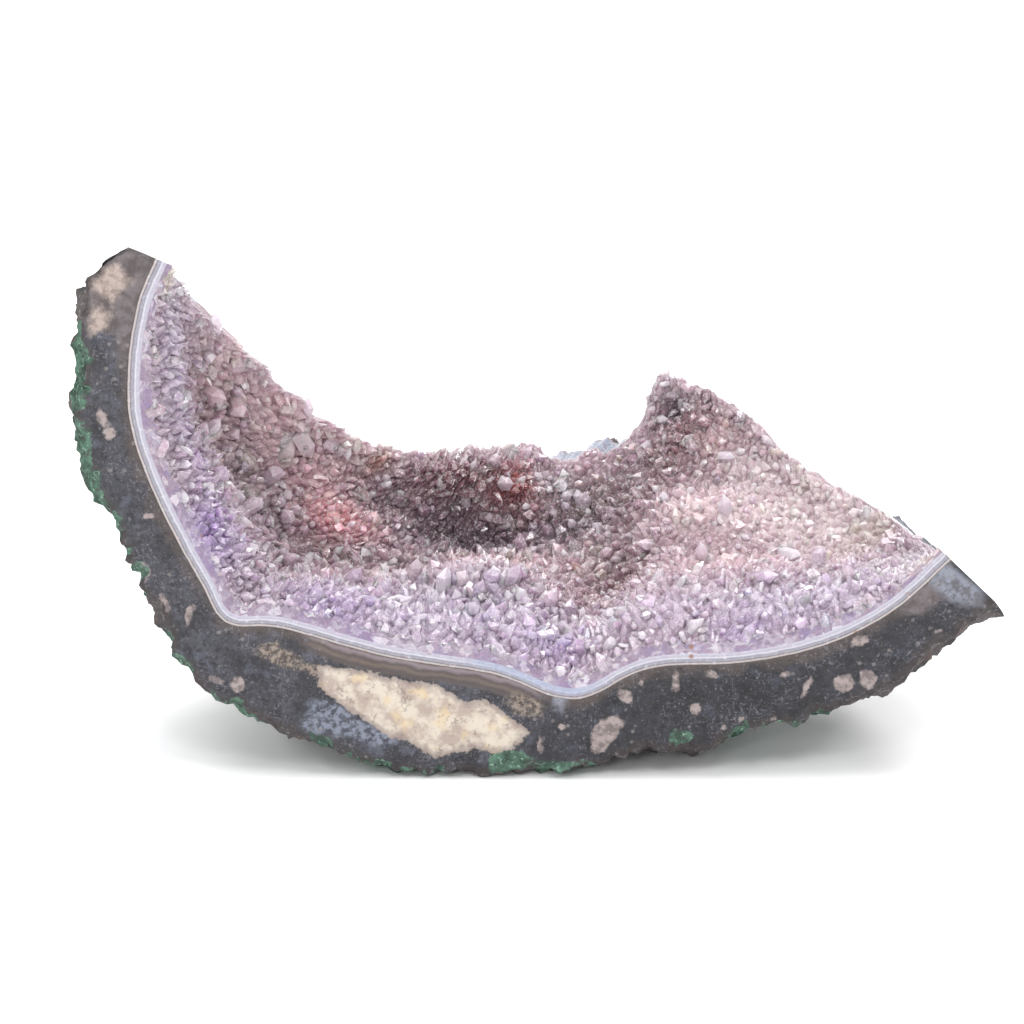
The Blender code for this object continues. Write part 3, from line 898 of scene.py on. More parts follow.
class Look:
    """A node material around one Principled shader; sizes in it are millimetres."""

    def __init__(self, name):
        self.material = bpy.data.materials.new(name)
        self.material.use_nodes = True
        self.tree = self.material.node_tree
        self.shader = self.tree.nodes["Principled BSDF"]
        self.spot = self.node("TexCoord", "Object", {})
        if name in RELIEF:
            size, detail, rough, depth, strength = RELIEF[name]
            self.bump(self.noise(size, detail, rough), depth, strength)

    def put(self, value, socket):
        """Links a node's output to a socket, or sets the socket to a plain value."""
        if isinstance(value, bpy.types.NodeSocket):
            self.tree.links.new(value, socket)
        elif isinstance(value, tuple) and len(value) == 3 and socket.type == "RGBA":
            socket.default_value = (*value, 1)
        else:
            socket.default_value = value

    def node(self, kind, output, inputs, **settings):
        """The output of a new node with these inputs, each a plain value or another node's output."""
        node = self.tree.nodes.new("ShaderNode" + kind)
        for name, setting in settings.items():
            setattr(node, name, setting)
        for name, value in inputs.items():
            self.put(value, node.inputs[name])
        return node.outputs[output]

    def field(self, name, output="Fac"):
        """A value that the mesh carries."""
        return self.node("Attribute", output, {}, attribute_name=name)

    def stretched(self, at, scale):
        """A place stretched along its axes."""
        return self.node("Mapping", "Vector", {"Vector": at, "Scale": scale})

    def noise(self, size, detail=3.0, rough=0.55, at=None):
        """Noise of this size, from the place in space, or from a place in mm if one is given."""
        scale = 1 / size if at else 1 / (size * MM)
        inputs = {"Vector": at or self.spot, "Detail": detail, "Roughness": rough, "Scale": scale}
        return self.node("TexNoise", "Fac", inputs)

    def cells(self, size, output="Distance", at=None):
        """Cells of this size: the distance from their middles, or their random colours."""
        scale = 1 / size if at else 1 / (size * MM)
        return self.node("TexVoronoi", output, {"Vector": at or self.spot, "Scale": scale})

    def math(self, operation, one, other=0.0):
        """One value worked out from two."""
        return self.node("Math", 0, {0: one, 1: other}, operation=operation)

    def fade(self, value, low, high, least=0.0, most=1.0):
        """Rises smoothly from least at low to most at high."""
        inputs = {"Value": value, "From Min": low, "From Max": high, "To Min": least, "To Max": most}
        return self.node("MapRange", "Result", inputs, interpolation_type="SMOOTHSTEP")

    def mix(self, share, one, other, blend="MIX"):
        """Two colours mixed."""
        return self.node("Mix", 2, {0: share, 6: one, 7: other}, data_type="RGBA", blend_type=blend)

    def ramp(self, value, stops):
        """The colour at a value, between colours at stops."""
        node = self.tree.nodes.new("ShaderNodeValToRGB")
        self.put(value, node.inputs["Fac"])
        elements = node.color_ramp.elements
        while len(elements) < len(stops):
            elements.new(0.5)
        for element, (at, colour) in zip(elements, stops):
            element.position = at
            element.color = (*colour, 1)
        return node.outputs["Color"]

    def frayed(self, value, wide, size, detail=3.0, rough=0.55):
        """A value with noise of this width and size added, so that edges drawn by it fray."""
        return self.math("ADD", value, self.math("MULTIPLY", self.noise(size, detail, rough), wide))

    def ragged(self, name, size, wide, soft, most=1.0):
        """A mark that the mesh carries, with a ragged edge: most inside it and 0 outside."""
        rough = self.math("MULTIPLY", self.math("SUBTRACT", self.noise(size, 4.0, 0.65), 0.5), wide)
        return self.fade(self.math("ADD", self.field(name), rough), -soft, soft, 0, most)

    def painted(self, name, colour=None, at=None):
        """The ground that PAINTS holds by this name, or another colour, under the stains there."""
        ground, *stains = PAINTS[name]
        colour = tone(*ground) if colour is None else colour
        for size, detail, rough, low, high, most, stain in stains:
            share = self.fade(self.noise(size, detail, rough, at), low, high, 0, most)
            colour = self.mix(share, colour, tone(*stain))
        return colour

    def patched(self, colour, patches):
        """The colour under patches that the mesh carries, each with its own paint."""
        for name, *edge in patches:
            colour = self.mix(self.ragged(name, *edge), colour, self.painted(name))
        return colour

    def edged(self, colour, value, name):
        """The colour under the frayed edge that EDGES holds by this name, drawn by a value."""
        wide, size, detail, rough, start, full, most, edge = EDGES[name]
        share = self.fade(self.frayed(value, wide, size, detail, rough), start, full, 0, most)
        return self.mix(share, colour, tone(*edge))

    def between(self, value, start, full, falls, stop):
        """Rises from 0 at start to 1 at full, and falls again to 0 at stop."""
        return self.math("MULTIPLY", self.fade(value, start, full), self.fade(value, stop, falls))

    def speckled(self, colour, name):
        """The colour under the round specks that SPECKS holds by this name."""
        size, far, near, patch, low, high, most, speck = SPECKS[name]
        dots = self.fade(self.cells(size), far, near, 0, most)
        share = self.math("MULTIPLY", dots, self.fade(self.noise(patch), low, high))
        return self.mix(share, colour, tone(*speck))

    def bump(self, height, depth, strength=1.0):
        """Relief of this depth, over what relief there is."""
        inputs = {"Height": height, "Distance": depth * MM, "Strength": strength}
        for link in self.shader.inputs["Normal"].links:
            inputs["Normal"] = link.from_socket
        self.put(self.node("Bump", "Normal", inputs), self.shader.inputs["Normal"])

    def done(self, colour, **plain):
        """The material with this colour, its gloss, and plain values for other sockets."""
        self.put(colour, self.shader.inputs["Base Color"])
        if self.material.name in GLOSS:
            size, low, least, most = GLOSS[self.material.name]
            self.put(self.fade(self.noise(size), low, DULL, least, most), self.shader.inputs["Roughness"])
        for name, value in plain.items():
            self.shader.inputs[name.replace("_", " ")].default_value = value
        return self.material


def skin_look():
    """The rind's outer skin, partly green."""
    look = Look("basalt_skin")
    colour = look.mix(look.ragged("green", *SKIN_GREEN), look.painted("rock"), look.painted("green"))
    look.bump(look.cells(SKIN_PITS[0]), *SKIN_PITS[1:])
    return look.done(colour)


def broken_look():
    """The rind where it broke, bluish towards its right end."""
    look = Look("basalt_broken")
    colour = look.painted("splinters", look.painted("rock"))
    wide, size, start, full, most = BLUISH_END
    to_right = look.frayed(look.field("along"), wide, size)
    return look.done(look.mix(look.fade(to_right, start, full, 0, most), colour, look.painted("bluish")))


def sawn_look():
    """The rind's sawn face: charcoal with pale filled bubbles, a cream patch, stripes and flecks."""
    look = Look("basalt_sawn")
    place = look.field("place", "Vector")
    depth, along = look.field("depth"), look.field("along")
    shade = look.fade(along, *RIGHT_SHADE)
    colour = look.mix(shade, look.painted("charcoal"), tone(150, 150, 160), "MULTIPLY")
    colour = look.painted("grit", look.edged(colour, depth, "inner"))
    colour = look.edged(colour, look.field("from_edge"), "outer")

    for stretch, size, strength in FLECKS:
        fine = look.noise(size, 3.0, 0.6, look.stretched(place, stretch))
        patches = look.fade(look.noise(4.5), 0.42, 0.62)
        share = look.math("MULTIPLY", look.fade(fine, 0.56, 0.7, 0, strength), patches)
        colour = look.mix(share, colour, tone(134, 132, 142))

    wavy = look.frayed(depth, 1.8, 4.5)
    stripes = look.ramp(look.math("DIVIDE", wavy, STRIPES_WIDTH), STRIPES)
    share = look.math("MULTIPLY", look.between(along, *STRIPES_ALONG), look.fade(wavy, 4.3, 3.5, 0, 0.9))
    colour = look.mix(share, colour, stripes)

    colour = look.patched(colour, LOWER_PATCHES)
    colour = look.speckled(colour, "bubbles")
    colour = look.patched(colour, UPPER_PATCHES)
    colour = look.mix(look.ragged("cream", *CREAM_EDGE), colour, cream_colour(look))
    return look.done(look.patched(colour, GREEN_PATCHES))


def cream_colour(look):
    """The cream patch: mottled, cracked, and greyish at its edge."""
    cream = look.painted("cream")
    cracks = look.math("ABSOLUTE", look.math("SUBTRACT", look.noise(4.0, 4.0, 0.6), 0.5))
    cracks = look.fade(cracks, 0.03, 0.006, 0, 0.6)
    share = look.math("MULTIPLY", cracks, look.fade(look.noise(3.0), 0.5, 0.6))
    cream = look.painted("crumbs", look.mix(share, cream, tone(118, 106, 100)))
    return look.edged(cream, look.field("cream"), "cream")


def agate_look():
    """Thin bands: cream and dark next to the rock, then bluish white."""
    look = Look("agate_bands")
    share, along = look.field("share"), look.field("along")
    waver = look.math("SUBTRACT", look.noise(4.5, 3.0, 0.6, look.field("place", "Vector")), 0.5)
    colour = look.ramp(look.math("ADD", share, look.math("MULTIPLY", waver, WAVER)), BANDS)
    blue = look.math("MULTIPLY", look.between(along, *BLUE_ALONG), look.fade(share, 0.3, 0.6, 0, 0.75))
    colour = look.painted("haze", look.mix(blue, colour, tone(150, 158, 180)))
    colour = look.speckled(colour, "agate_rust")
    return look.done(colour, Subsurface_Weight=0.15, Subsurface_Scale=0.001)


def quartz_sawn_look():
    """The quartz where it was sawn: cut crystals, lilac, purple and milky."""
    look = Look("quartz_sawn")
    place = look.stretched(look.field("place", "Vector"), (1, 0.55, 1))
    cut = look.frayed(look.cells(1.3, "Color", place), 0.4, 0.6)
    colour = look.mix(0.5, look.field("tint", "Color"), tone(144, 134, 146))
    colour = look.mix(look.fade(cut, 0.2, 0.9, 0.2, 1), tone(132, 114, 138), colour)
    colour = look.mix(look.fade(cut, 0.75, 1.1, 0, 0.8), colour, tone(206, 200, 208))
    colour = look.painted("veins", look.painted("purple", colour), place)
    colour = look.speckled(colour, "quartz_rust")
    look.bump(look.cells(0.8, "Distance", place), 0.15)
    return look.done(colour, Subsurface_Weight=0.3, Subsurface_Scale=0.0006)


def quartz_look(name, absorbs=False):
    """Clear to milky quartz crystals, tinted from within."""
    look = Look(name)
    if absorbs:
        inputs = {"Color": WITHIN_COLOUR, "Density": WITHIN_DENSITY}
        within = look.node("VolumeAbsorption", "Volume", inputs)
        look.put(within, look.tree.nodes["Material Output"].inputs["Volume"])
    return look.done(look.painted(name, look.field("tint", "Color")), **CLEAR)


class Sheet:
    """Spots in columns along the sawn edge and rows up to the broken rim, joined by quads."""

    def __init__(self, shell, columns, rows):
        along = np.linspace(0, shell.length, columns + 1)
        high = broken_rim(shell, along)[:, None] * np.linspace(0, 1, rows + 1)
        self.spots = np.stack([np.repeat(along, rows + 1), high.ravel()], axis=1)
        numbers = np.arange(len(self.spots)).reshape(columns + 1, rows + 1)
        corners = (numbers[:-1, :-1], numbers[1:, :-1], numbers[1:, 1:], numbers[:-1, 1:])
        self.quads = np.stack([corner.ravel() for corner in corners], axis=1)
        self.loop = np.concatenate([numbers[:-1, 0], numbers[-1, :-1], numbers[:0:-1, -1], numbers[0, :0:-1]])
        self.sawn = np.arange(len(self.loop)) < columns


def lofted(sheet, outer, rows, inner, lining=None):
    """A closed mesh: an outer and an inner sheet of points, with rows of points between their borders.

    The inner sheet may have faces of its own, and then its border comes first among its points. Returns the
    points, the faces and, for each face, whether it is outer skin, sawn, broken or inner.
    """
    points = [outer, inner, *rows]
    size, around = len(outer), len(sheet.loop)
    inner_loop = size + (sheet.loop if lining is None else np.arange(around))
    lining = sheet.quads if lining is None else lining
    first = size + len(inner)
    loops = [sheet.loop, *(first + i * around + np.arange(around) for i in range(len(rows))), inner_loop]
    faces = sheet.quads[:, ::-1].tolist() + (lining + size).tolist()
    parts = [np.full(len(sheet.quads), OUTER), np.full(len(lining), INNER)]
    for one, other in zip(loops, loops[1:]):
        faces += np.stack([one, np.roll(one, -1), np.roll(other, -1), other], axis=1).tolist()
        parts.append(np.where(sheet.sawn, SAWN, BROKEN))
    return np.concatenate(points), faces, np.concatenate(parts)


def placed(name, data):
    """A new object of this name in the scene."""
    thing = bpy.data.objects.new(name, data)
    bpy.context.scene.collection.objects.link(thing)
    return thing


def made(name, points, faces, materials, fields, parts=None, smooth=True):
    """The object with these points in the shell's millimetres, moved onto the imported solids."""
    mesh = bpy.data.meshes.new(name)
    mesh.from_pydata(((points + SHIFT) * MM).tolist(), [], faces)
    if parts is not None:
        mesh.polygons.foreach_set("material_index", parts.astype(np.int32))
    for field, values in fields.items():
        kind, part = FIELD_KINDS[values.shape[-1] if values.ndim > 1 else 1]
        mesh.attributes.new(field, kind, "POINT").data.foreach_set(part, values.astype(np.float32).ravel())
    for look in materials:
        mesh.materials.append(look)
    mesh.polygons.foreach_set("use_smooth", np.full(len(mesh.polygons), smooth))
    mesh.update()
    return placed(name, mesh)


def chips(shell, along):
    """How deep the outer edge of the sawn face is chipped at these places."""
    depth = CHIP_DEPTH * smoothstep(jags(along, CHIP_NOISE) + CHIP_SHARE)
    return np.minimum(depth, JAG_LIMIT * shell.rib(along))


def rind(shell):
    """The basalt: rough outside, flat where it was sawn, with a chipped edge there, and broken at the rim."""
    sheet = Sheet(shell, COLUMNS, ROWS)
    along = sheet.spots[:, 0]
    rim, chip = broken_rim(shell, along), chips(shell, along)
    spots = np.stack([along, chip + (rim - chip) * sheet.spots[:, 1] / rim], axis=1)
    depth = rock_depth(shell, spots)
    outer = shell.place(spots, depth)
    outer[:, 2] = outer[:, 2].clip(0)
    inner = shell.place(sheet.spots, 0)

    loop = sheet.spots[sheet.loop]
    thick, chip = depth[sheet.loop], chip[sheet.loop]
    broken = np.where(sheet.sawn, 0.0, smoothstep((loop[:, 1] - RIM_CALM) / RIM_GROWTH))
    rows, row_depths = [], []
    for share in np.linspace(0, 1, ROCK_STEPS + 1)[1:-1]:
        row_depth = thick * (1 - share)
        back = np.where(sheet.sawn, chip * smoothstep(1 - thick * share / CHIP_WIDTH), loop[:, 1])
        row_spots = np.stack([loop[:, 0], back], axis=1)
        row = shell.place(row_spots, row_depth)
        up_rib = row - shell.place(row_spots - [0, 1], row_depth)
        rough = RIM_LIFT + sum(weight * roughness(row, grain) for grain, weight in RIM_GRAINS)
        ease = smoothstep(min(share, 1 - share) / RIM_EASE)
        row += up_rib * (ease * broken * RIM_ROUGHNESS * rough)[:, None]
        row[:, 2] = row[:, 2].clip(0)
        rows.append(row)
        row_depths.append(row_depth)

    points, quads, parts = lofted(sheet, outer, rows, inner)
    depths = np.concatenate([depth, np.zeros(len(inner)), *row_depths])
    edges = np.concatenate([np.zeros(len(outer)), depth, *(thick - row_depth for row_depth in row_depths)])
    alongs = np.concatenate([along, along, *([loop[:, 0]] * len(rows))])
    fields = {
        "depth": depths,
        "from_edge": edges,
        "place": np.stack([alongs, depths, np.zeros(len(alongs))], axis=1),
        "along": alongs,
        "green": np.maximum(blotches(points, GREEN_BLOTCHES, 3), green_skin(points)),
    }
    for seed, (name, marks) in enumerate(MARKS):
        fields[name] = blotches(points, marks, seed)
    looks = [skin_look(), sawn_look(), broken_look()]
    piece = made("rind_stone", points, quads, looks, fields, np.minimum(parts, BROKEN))
    return piece, "basalt_rind", "basalt"


def agate(shell):
    """The thin banded layer between the rind and the quartz."""
    sheet = Sheet(shell, COLUMNS, ROWS // 2)
    loop = sheet.spots[sheet.loop]
    shares = np.linspace(0, 1, LAYER_STEPS + 1)[1:-1]
    rows = [shell.place(loop, -HAIR - (AGATE - HAIR) * share) for share in shares]
    outer, inner = (shell.place(sheet.spots, depth) for depth in (-HAIR, -AGATE))
    points, quads, _ = lofted(sheet, outer, rows, inner)
    size, around = len(sheet.spots), len(loop)
    share = np.concatenate([np.zeros(size), np.ones(size), np.repeat(shares, around)])
    alongs = np.concatenate([sheet.spots[:, 0], sheet.spots[:, 0], *([loop[:, 0]] * len(rows))])
    place = np.stack([alongs, share, np.zeros(len(alongs))], axis=1)
    fields = {"share": share, "along": alongs, "place": place}
    return made("agate_layer", points, quads, [agate_look()], fields), "agate_band", "agate"


def druse_spots(shell, rng):
    """Where crystals of unlike sizes stand side by side, and their radii."""
    spots, radii, near = [], [], {}
    grid = 2 * DRUSE_CLOSE * DRUSE[0][0]
    for radius, tries in DRUSE:
        tried = rng.uniform(0, 1, (tries, 2)) * [shell.length, shell.ribs.max()]
        edge = DRUSE_EDGE[0] * radius + DRUSE_EDGE[1]
        inside = (tried[:, 0] > edge) & (tried[:, 0] < shell.length - edge) & (tried[:, 1] > edge)
        tried = tried[inside]
        for along, up in tried[tried[:, 1] < broken_rim(shell, tried[:, 0]) - edge]:
            i, j = int(along / grid), int(up / grid)
            around = [spot for a in (-1, 0, 1) for b in (-1, 0, 1) for spot in near.get((i + a, j + b), ())]
            if all(math.hypot(along - x, up - y) > DRUSE_CLOSE * (radius + r) for x, y, r in around):
                near.setdefault((i, j), []).append((along, up, radius))
                spots.append((along, up))
                radii.append(radius)
    return np.array(spots), np.array(radii)


def side_by_side(loop, spots):
    """The feet between crystals at these spots inside a loop, and the faces from their points to the feet.

    The points are numbered from the loop's, over the crystals' own, to the feet.
    """
    tops = np.concatenate([loop, spots])
    border = [(i, (i + 1) % len(loop)) for i in range(len(loop))]
    result = geometry.delaunay_2d_cdt([Vector(spot) for spot in tops], border, [], 1, 1e-6)
    assert len(result[0]) == len(tops)
    triangles = np.array(result[2])
    feet = tops[triangles].mean(axis=1)
    beside = {}
    for number, corners in enumerate(triangles.tolist()):
        for one, other in zip(corners, corners[1:] + corners[:1]):
            beside[one, other] = len(tops) + number
    faces = []
    for (one, other), foot in beside.items():
        across = beside.get((other, one))
        faces.append((one, other, foot) if across is None else (one, across, foot))
    return feet, np.array(faces)


def quartz_druse(shell):
    """The quartz that lines the hollow, grown up into crystals side by side, and flat where it was sawn."""
    rng = np.random.default_rng(DRUSE_SEED)
    sheet = Sheet(shell, COLUMNS, ROWS // 4)
    loop = sheet.spots[sheet.loop]
    grown_in = smoothstep(shell.crust(loop[:, 0]) / CRUST)
    ragged = jags(loop[:, 0], RAGGED_NOISE)
    edge = crust_depth(shell, loop) + RAGGED_EDGE * ragged * smoothstep(1 - loop[:, 1] / CUT_ZONE)
    edge = np.minimum(edge, -AGATE - LEAST_CRUST)
    back = np.where(sheet.sawn, SET_BACK * (1 + BACK_SPREAD * ragged) * grown_in, 0)

    spots, radii = druse_spots(shell, rng)
    feet, lining = side_by_side(loop, spots)
    at, inward = standing(shell, spots)
    height = radii * rng.uniform(*DRUSE_HEIGHT, len(spots)) * crystal_scale(spots)
    base = crust_depth(shell, spots)
    up_rib = unit(shell.place(spots, base) - shell.place(spots - [0, 1], base))
    from_rim = broken_rim(shell, spots[:, 0]) - spots[:, 1]
    outward = (RIM_LEAN * smoothstep(1 - from_rim / RIM_ZONE))[:, None]
    outward *= 1 - (shell.bare(spots[:, 0]) / BARE_RIM[2])[:, None]
    height *= 1 + RIM_TALLER * outward[:, 0]
    lean = rng.normal(0, DRUSE_LEAN, at.shape)
    tops = at + unit(inward * (1 - RIM_FALL * outward) + up_rib * outward + lean) * height[:, None]
    low = np.minimum(crust_depth(shell, feet) + SUNK * rng.uniform(0, 1, len(feet)), -AGATE - LEAST_CRUST)
    inner = np.concatenate([shell.place(loop, edge), tops, shell.place(feet, low)])
    inner[:, 1] = np.maximum(inner[:, 1], CRYSTAL_SAWN[0])
    inner[: len(loop), 1] = np.maximum(inner[: len(loop), 1], back)
    inner[:, 2] = inner[:, 2].clip(0)

    start = -AGATE - HAIR
    outer = shell.place(sheet.spots, start)
    shares = np.linspace(0, 1, LAYER_STEPS + 1)[1:-1]
    rows = [shell.place(loop, start + (edge - start) * share) for share in shares]
    for row, share in zip(rows, shares):
        row[:, 1] += back * share
    points, faces, parts = lofted(sheet, outer, rows, inner, lining)

    inner_spots = np.concatenate([loop, spots, feet])
    light = np.ones((len(inner_spots), 1))
    light[len(loop) : len(loop) + len(spots)] = np.exp(rng.normal(0, LIGHT_SPREAD, (len(spots), 1)))
    light[len(loop) + len(spots) :] = FOOT_SHADE
    inner_tint = tints(shell, inner_spots) ** CLEAR_GAMMA
    inner_tint[:, :3] = (inner_tint[:, :3] * light).clip(0, BRIGHTEST)
    around = np.concatenate([loop] * len(rows))
    broken_tint = tints(shell, around) * BROKEN_SHADE
    bare = (shell.bare(around[:, 0]) / BARE_RIM[2] * np.tile(~sheet.sawn, len(rows)))[:, None]
    broken_tint[:, :3] += (np.array(ICE) - broken_tint[:, :3]) * bare
    share = [np.zeros(len(outer)), np.ones(len(inner)), np.repeat(shares, len(loop))]
    alongs = np.concatenate([sheet.spots[:, 0], inner_spots[:, 0], around[:, 0]])
    fields = {
        "tint": np.concatenate([tints(shell, sheet.spots), inner_tint, broken_tint]),
        "place": np.stack([alongs, np.concatenate(share) * CRUST, np.zeros(len(alongs))], axis=1),
    }
    looks = [quartz_look("quartz_druse"), quartz_sawn_look()]
    parts = (parts == SAWN).astype(int)
    piece = made("quartz_druse", points, faces, looks, fields, parts, smooth=False)
    return piece, "amethyst_crust", "amethyst"


def crystal_spots(shell, spacing, rng):
    """Spots about this far apart all over the shell."""
    rows = np.arange(0, shell.ribs.max(), spacing * ROW_SPACING)
    columns = np.arange(0, shell.length, spacing)
    along, high = np.meshgrid(columns, rows)
    along = along + spacing * 0.5 * (np.arange(len(rows)) % 2)[:, None]
    spots = np.stack([along.ravel(), high.ravel()], axis=1)
    spots += rng.uniform(-SPOT_SPREAD, SPOT_SPREAD, spots.shape) * spacing
    from_tip = np.minimum(spots[:, 0], shell.length - spots[:, 0])
    spots = spots[(from_tip > TIP_MARGIN) & (spots[:, 1] > FIRST_CRYSTALS)]
    highest = broken_rim(shell, spots[:, 0]) - RIM_MARGIN - BARE_SHARE * shell.bare(spots[:, 0])
    return spots[spots[:, 1] < highest]


def standing(shell, spots):
    """Where the crystals' feet are at these spots, and which way is inwards there."""
    base = crust_depth(shell, spots)
    at = shell.place(spots, base)
    steps = ([FACING_STEP, 0], [0, -FACING_STEP])
    one, other = (shell.place(spots + step, crust_depth(shell, spots + step)) - at for step in steps)
    inward = unit(np.cross(one, other))
    inward *= np.sign((inward * (shell.place(spots, base - 1) - at)).sum(axis=1))[:, None]
    return at, inward


def grown(shell, spots, radius, height, lean, rng):
    """Pointed six-sided crystals at these spots: their corners, and a tint for each crystal."""
    count = len(spots)
    at, inward = standing(shell, spots)
    forward = np.outer(FRONT_LEAN * smoothstep(1 - spots[:, 1] / FRONT_ZONE), FRONT_WAY)
    axis = unit(inward + forward + rng.normal(0, lean, (count, 3)))
    side = unit(np.cross(axis, rng.normal(0, 1, (count, 3))))
    other = np.cross(axis, side)

    turn = np.arange(SIDES) * math.pi / (SIDES / 2)
    corners = rng.uniform(*CORNERS, (count, SIDES)) * radius[:, None]
    ring = side[:, None] * (corners * np.cos(turn))[..., None]
    ring = ring + other[:, None] * (corners * np.sin(turn))[..., None]
    point = radius * rng.uniform(*POINT, count)
    shoulder = rng.uniform(-UNEVEN, UNEVEN, (count, SIDES)) * radius[:, None]
    shoulder = (height - point).clip(LEAST_SHOULDER)[:, None] + shoulder
    apex = at + axis * (shoulder.mean(axis=1) + point)[:, None]
    apex += side * (rng.uniform(-UNEVEN, UNEVEN, count) * radius)[:, None]
    root = np.minimum(ROOT * radius + SUNK, shell.crust(spots[:, 0]) - LEAST_CRUST)
    foot = (at - axis * root[:, None])[:, None] + ring
    neck = at[:, None] + axis[:, None] * shoulder[..., None] + ring
    points = np.concatenate([foot, neck, apex[:, None]], axis=1)
    points[..., 1] = np.maximum(points[..., 1], rng.uniform(*CRYSTAL_SAWN, count)[:, None])
    points[..., 2] = points[..., 2].clip(0)

    light = np.exp(rng.normal(0, LIGHT_SPREAD, (count, 1)))
    tint = tints(shell, spots)[:, :3] ** CLEAR_GAMMA * light
    tint = tint * np.exp(rng.normal(0, COLOUR_SPREAD, (count, 3)))
    kind = rng.uniform(0, 1, (count, 1))
    tint = np.where(kind < MILKY[0], tint + (np.array(MILK) - tint) * MILKY[1], tint)
    tint = np.where(kind > 1 - DARK[0], tint * DARK[1], tint)
    return points, np.concatenate([tint.clip(0, BRIGHTEST), np.ones((count, 1))], axis=1)


def crystals(shell, kind, rng):
    """The crystals of one kind all over the hollow: their spots, corners and tints."""
    spacing, thin, thick, short, tall, lean = kind
    spots = crystal_spots(shell, spacing, rng)
    from_tip = np.minimum(spots[:, 0], shell.length - spots[:, 0])
    scale = (TIP_SIZE + (1 - TIP_SIZE) * smoothstep(from_tip / TIP_TAPER)) * crystal_scale(spots)
    radius = rng.uniform(thin, thick, len(spots)) * scale
    height = rng.uniform(short, tall, len(spots)) * scale
    return spots, *grown(shell, spots, radius, height, lean, rng)


def great_crystals(shell, rng):
    """The few largest crystals, each in its own place."""
    table = np.array(GREAT, float)
    spots, radius, height = table[:, :2], table[:, 2], table[:, 3]
    points, tint = grown(shell, spots, GREAT_SLIM * radius, height, GREAT_LEAN, rng)
    tint[:, :3] += (np.array(MILK) - tint[:, :3]) * GREAT_MILK
    return spots, points, tint


def crystal_pieces(shell):
    """All the crystals, as a few joined meshes."""
    rng = np.random.default_rng(CRYSTAL_SEED)
    kinds = [crystals(shell, kind, rng) for kind in (MEDIUM, LARGE)]
    spots, points, tint = (np.concatenate(parts) for parts in zip(*kinds, great_crystals(shell, rng)))
    apex = 2 * SIDES
    sides = [(i, (i + 1) % SIDES, (i + 1) % SIDES + SIDES, i + SIDES) for i in range(SIDES)]
    tips = [(i + SIDES, (i + 1) % SIDES + SIDES, apex) for i in range(SIDES)]
    shape = [*sides, *tips, tuple(reversed(range(SIDES)))]
    look = quartz_look("quartz_crystals", absorbs=True)
    pieces = []
    for name, low, high in CRYSTAL_PIECES:
        chosen = (spots[:, 0] >= low) & (spots[:, 0] < high)
        corners = points[chosen]
        starts = range(0, len(corners) * (apex + 1), apex + 1)
        faces = [[start + i for i in face] for start in starts for face in shape]
        fields = {"tint": np.repeat(tint[chosen], apex + 1, axis=0)}
        pieces.append(made(name, corners.reshape(-1, 3), faces, [look], fields, smooth=False))
    return pieces


def softbox(name, place, aim, size, power):
    """A soft rectangular studio light that shines from a place to an aim."""
    data = bpy.data.lights.new(name, "AREA")
    data.shape = "RECTANGLE"
    data.size, data.size_y = (length * MM for length in size)
    data.energy = power
    light = placed(name, data)
    light.location = Vector(place) * MM
    light.rotation_euler = (Vector(aim) - Vector(place)).to_track_quat("-Z", "Y").to_euler()


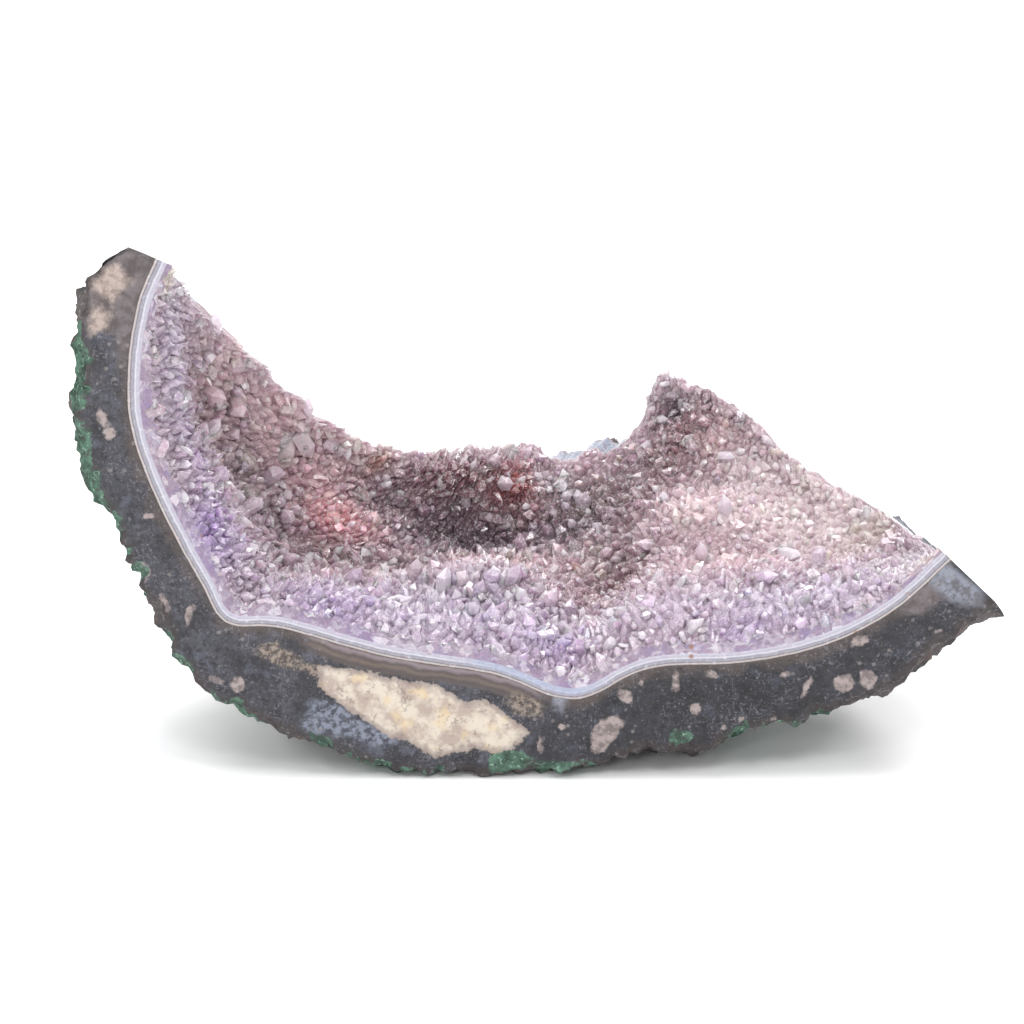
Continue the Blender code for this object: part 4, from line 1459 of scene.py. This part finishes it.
def stage():
    """A plain pale floor that curves up into a backdrop."""
    profile = [(-FLOOR_FRONT, 0.0), (FLOOR_BACK, 0.0)]
    for step in range(1, FLOOR_STEPS + 1):
        angle = math.radians(90 * step / FLOOR_STEPS)
        profile.append((FLOOR_BACK + FLOOR_CURVE * math.sin(angle), FLOOR_CURVE * (1 - math.cos(angle))))
    profile.append((FLOOR_BACK + FLOOR_CURVE, FLOOR_TOP))
    points = np.array([(x, y, z) for x in (-FLOOR_WIDE, FLOOR_WIDE) for y, z in profile])
    count = len(profile)
    faces = [(i, i + count, i + count + 1, i + 1) for i in range(count - 1)]
    mesh = bpy.data.meshes.new("floor")
    mesh.from_pydata((points * MM).tolist(), [], faces)
    mesh.polygons.foreach_set("use_smooth", np.full(len(faces), True))
    look = Look("floor_paper")
    colour = look.mix(look.noise(FLOOR_GRAIN), FLOOR_COLOUR, tone(*FLOOR_TINT))
    mesh.materials.append(look.done(colour, Roughness=FLOOR_ROUGHNESS))
    placed("floor", mesh)


def camera():
    """The camera, at the photo's viewing angle."""
    data = bpy.data.cameras.new("camera")
    data.lens, data.sensor_width = LENS, SENSOR
    eye = placed("camera", data)
    angle = math.radians(CAMERA_ELEVATION)
    aim = Vector(CAMERA_AIM) + Vector(SHIFT)
    back = Vector((0, -math.cos(angle), math.sin(angle)))
    eye.location = (aim + back * CAMERA_DISTANCE) * MM
    eye.rotation_euler = (-back).to_track_quat("-Z", "Y").to_euler()
    bpy.context.scene.camera = eye


def world():
    """Even white light from all round."""
    made_world = bpy.data.worlds.new("studio")
    made_world.use_nodes = True
    background = made_world.node_tree.nodes["Background"]
    background.inputs["Color"].default_value = (1, 1, 1, 1)
    background.inputs["Strength"].default_value = WORLD_LIGHT
    bpy.context.scene.world = made_world
    bpy.context.scene.view_settings.view_transform = "Standard"


def packed_shift(shell):
    """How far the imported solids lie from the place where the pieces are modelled, in mm."""
    along = np.linspace(0, shell.length, COLUMNS)
    spots = np.stack([along, np.zeros(COLUMNS)], axis=1)
    band = shell.place(spots, 0)[:, 0]
    low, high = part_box("agate_band")
    sawn_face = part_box("basalt_rind")[0].y
    return np.array([(low.x + high.x) / 2 / MM - (band.min() + band.max()) / 2, sawn_face / MM, 0.0])


shell = Shell()
SHIFT = packed_shift(shell)
for piece, node, slot in (rind(shell), agate(shell), quartz_druse(shell)):
    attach(piece, "root")
    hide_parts(node)
for piece in crystal_pieces(shell):
    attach(piece, "root")
    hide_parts("amethyst_crust")

stage()
world()
for name, place, aim, size, power in LIGHTS:
    softbox(name, place, aim, size, power)
camera()
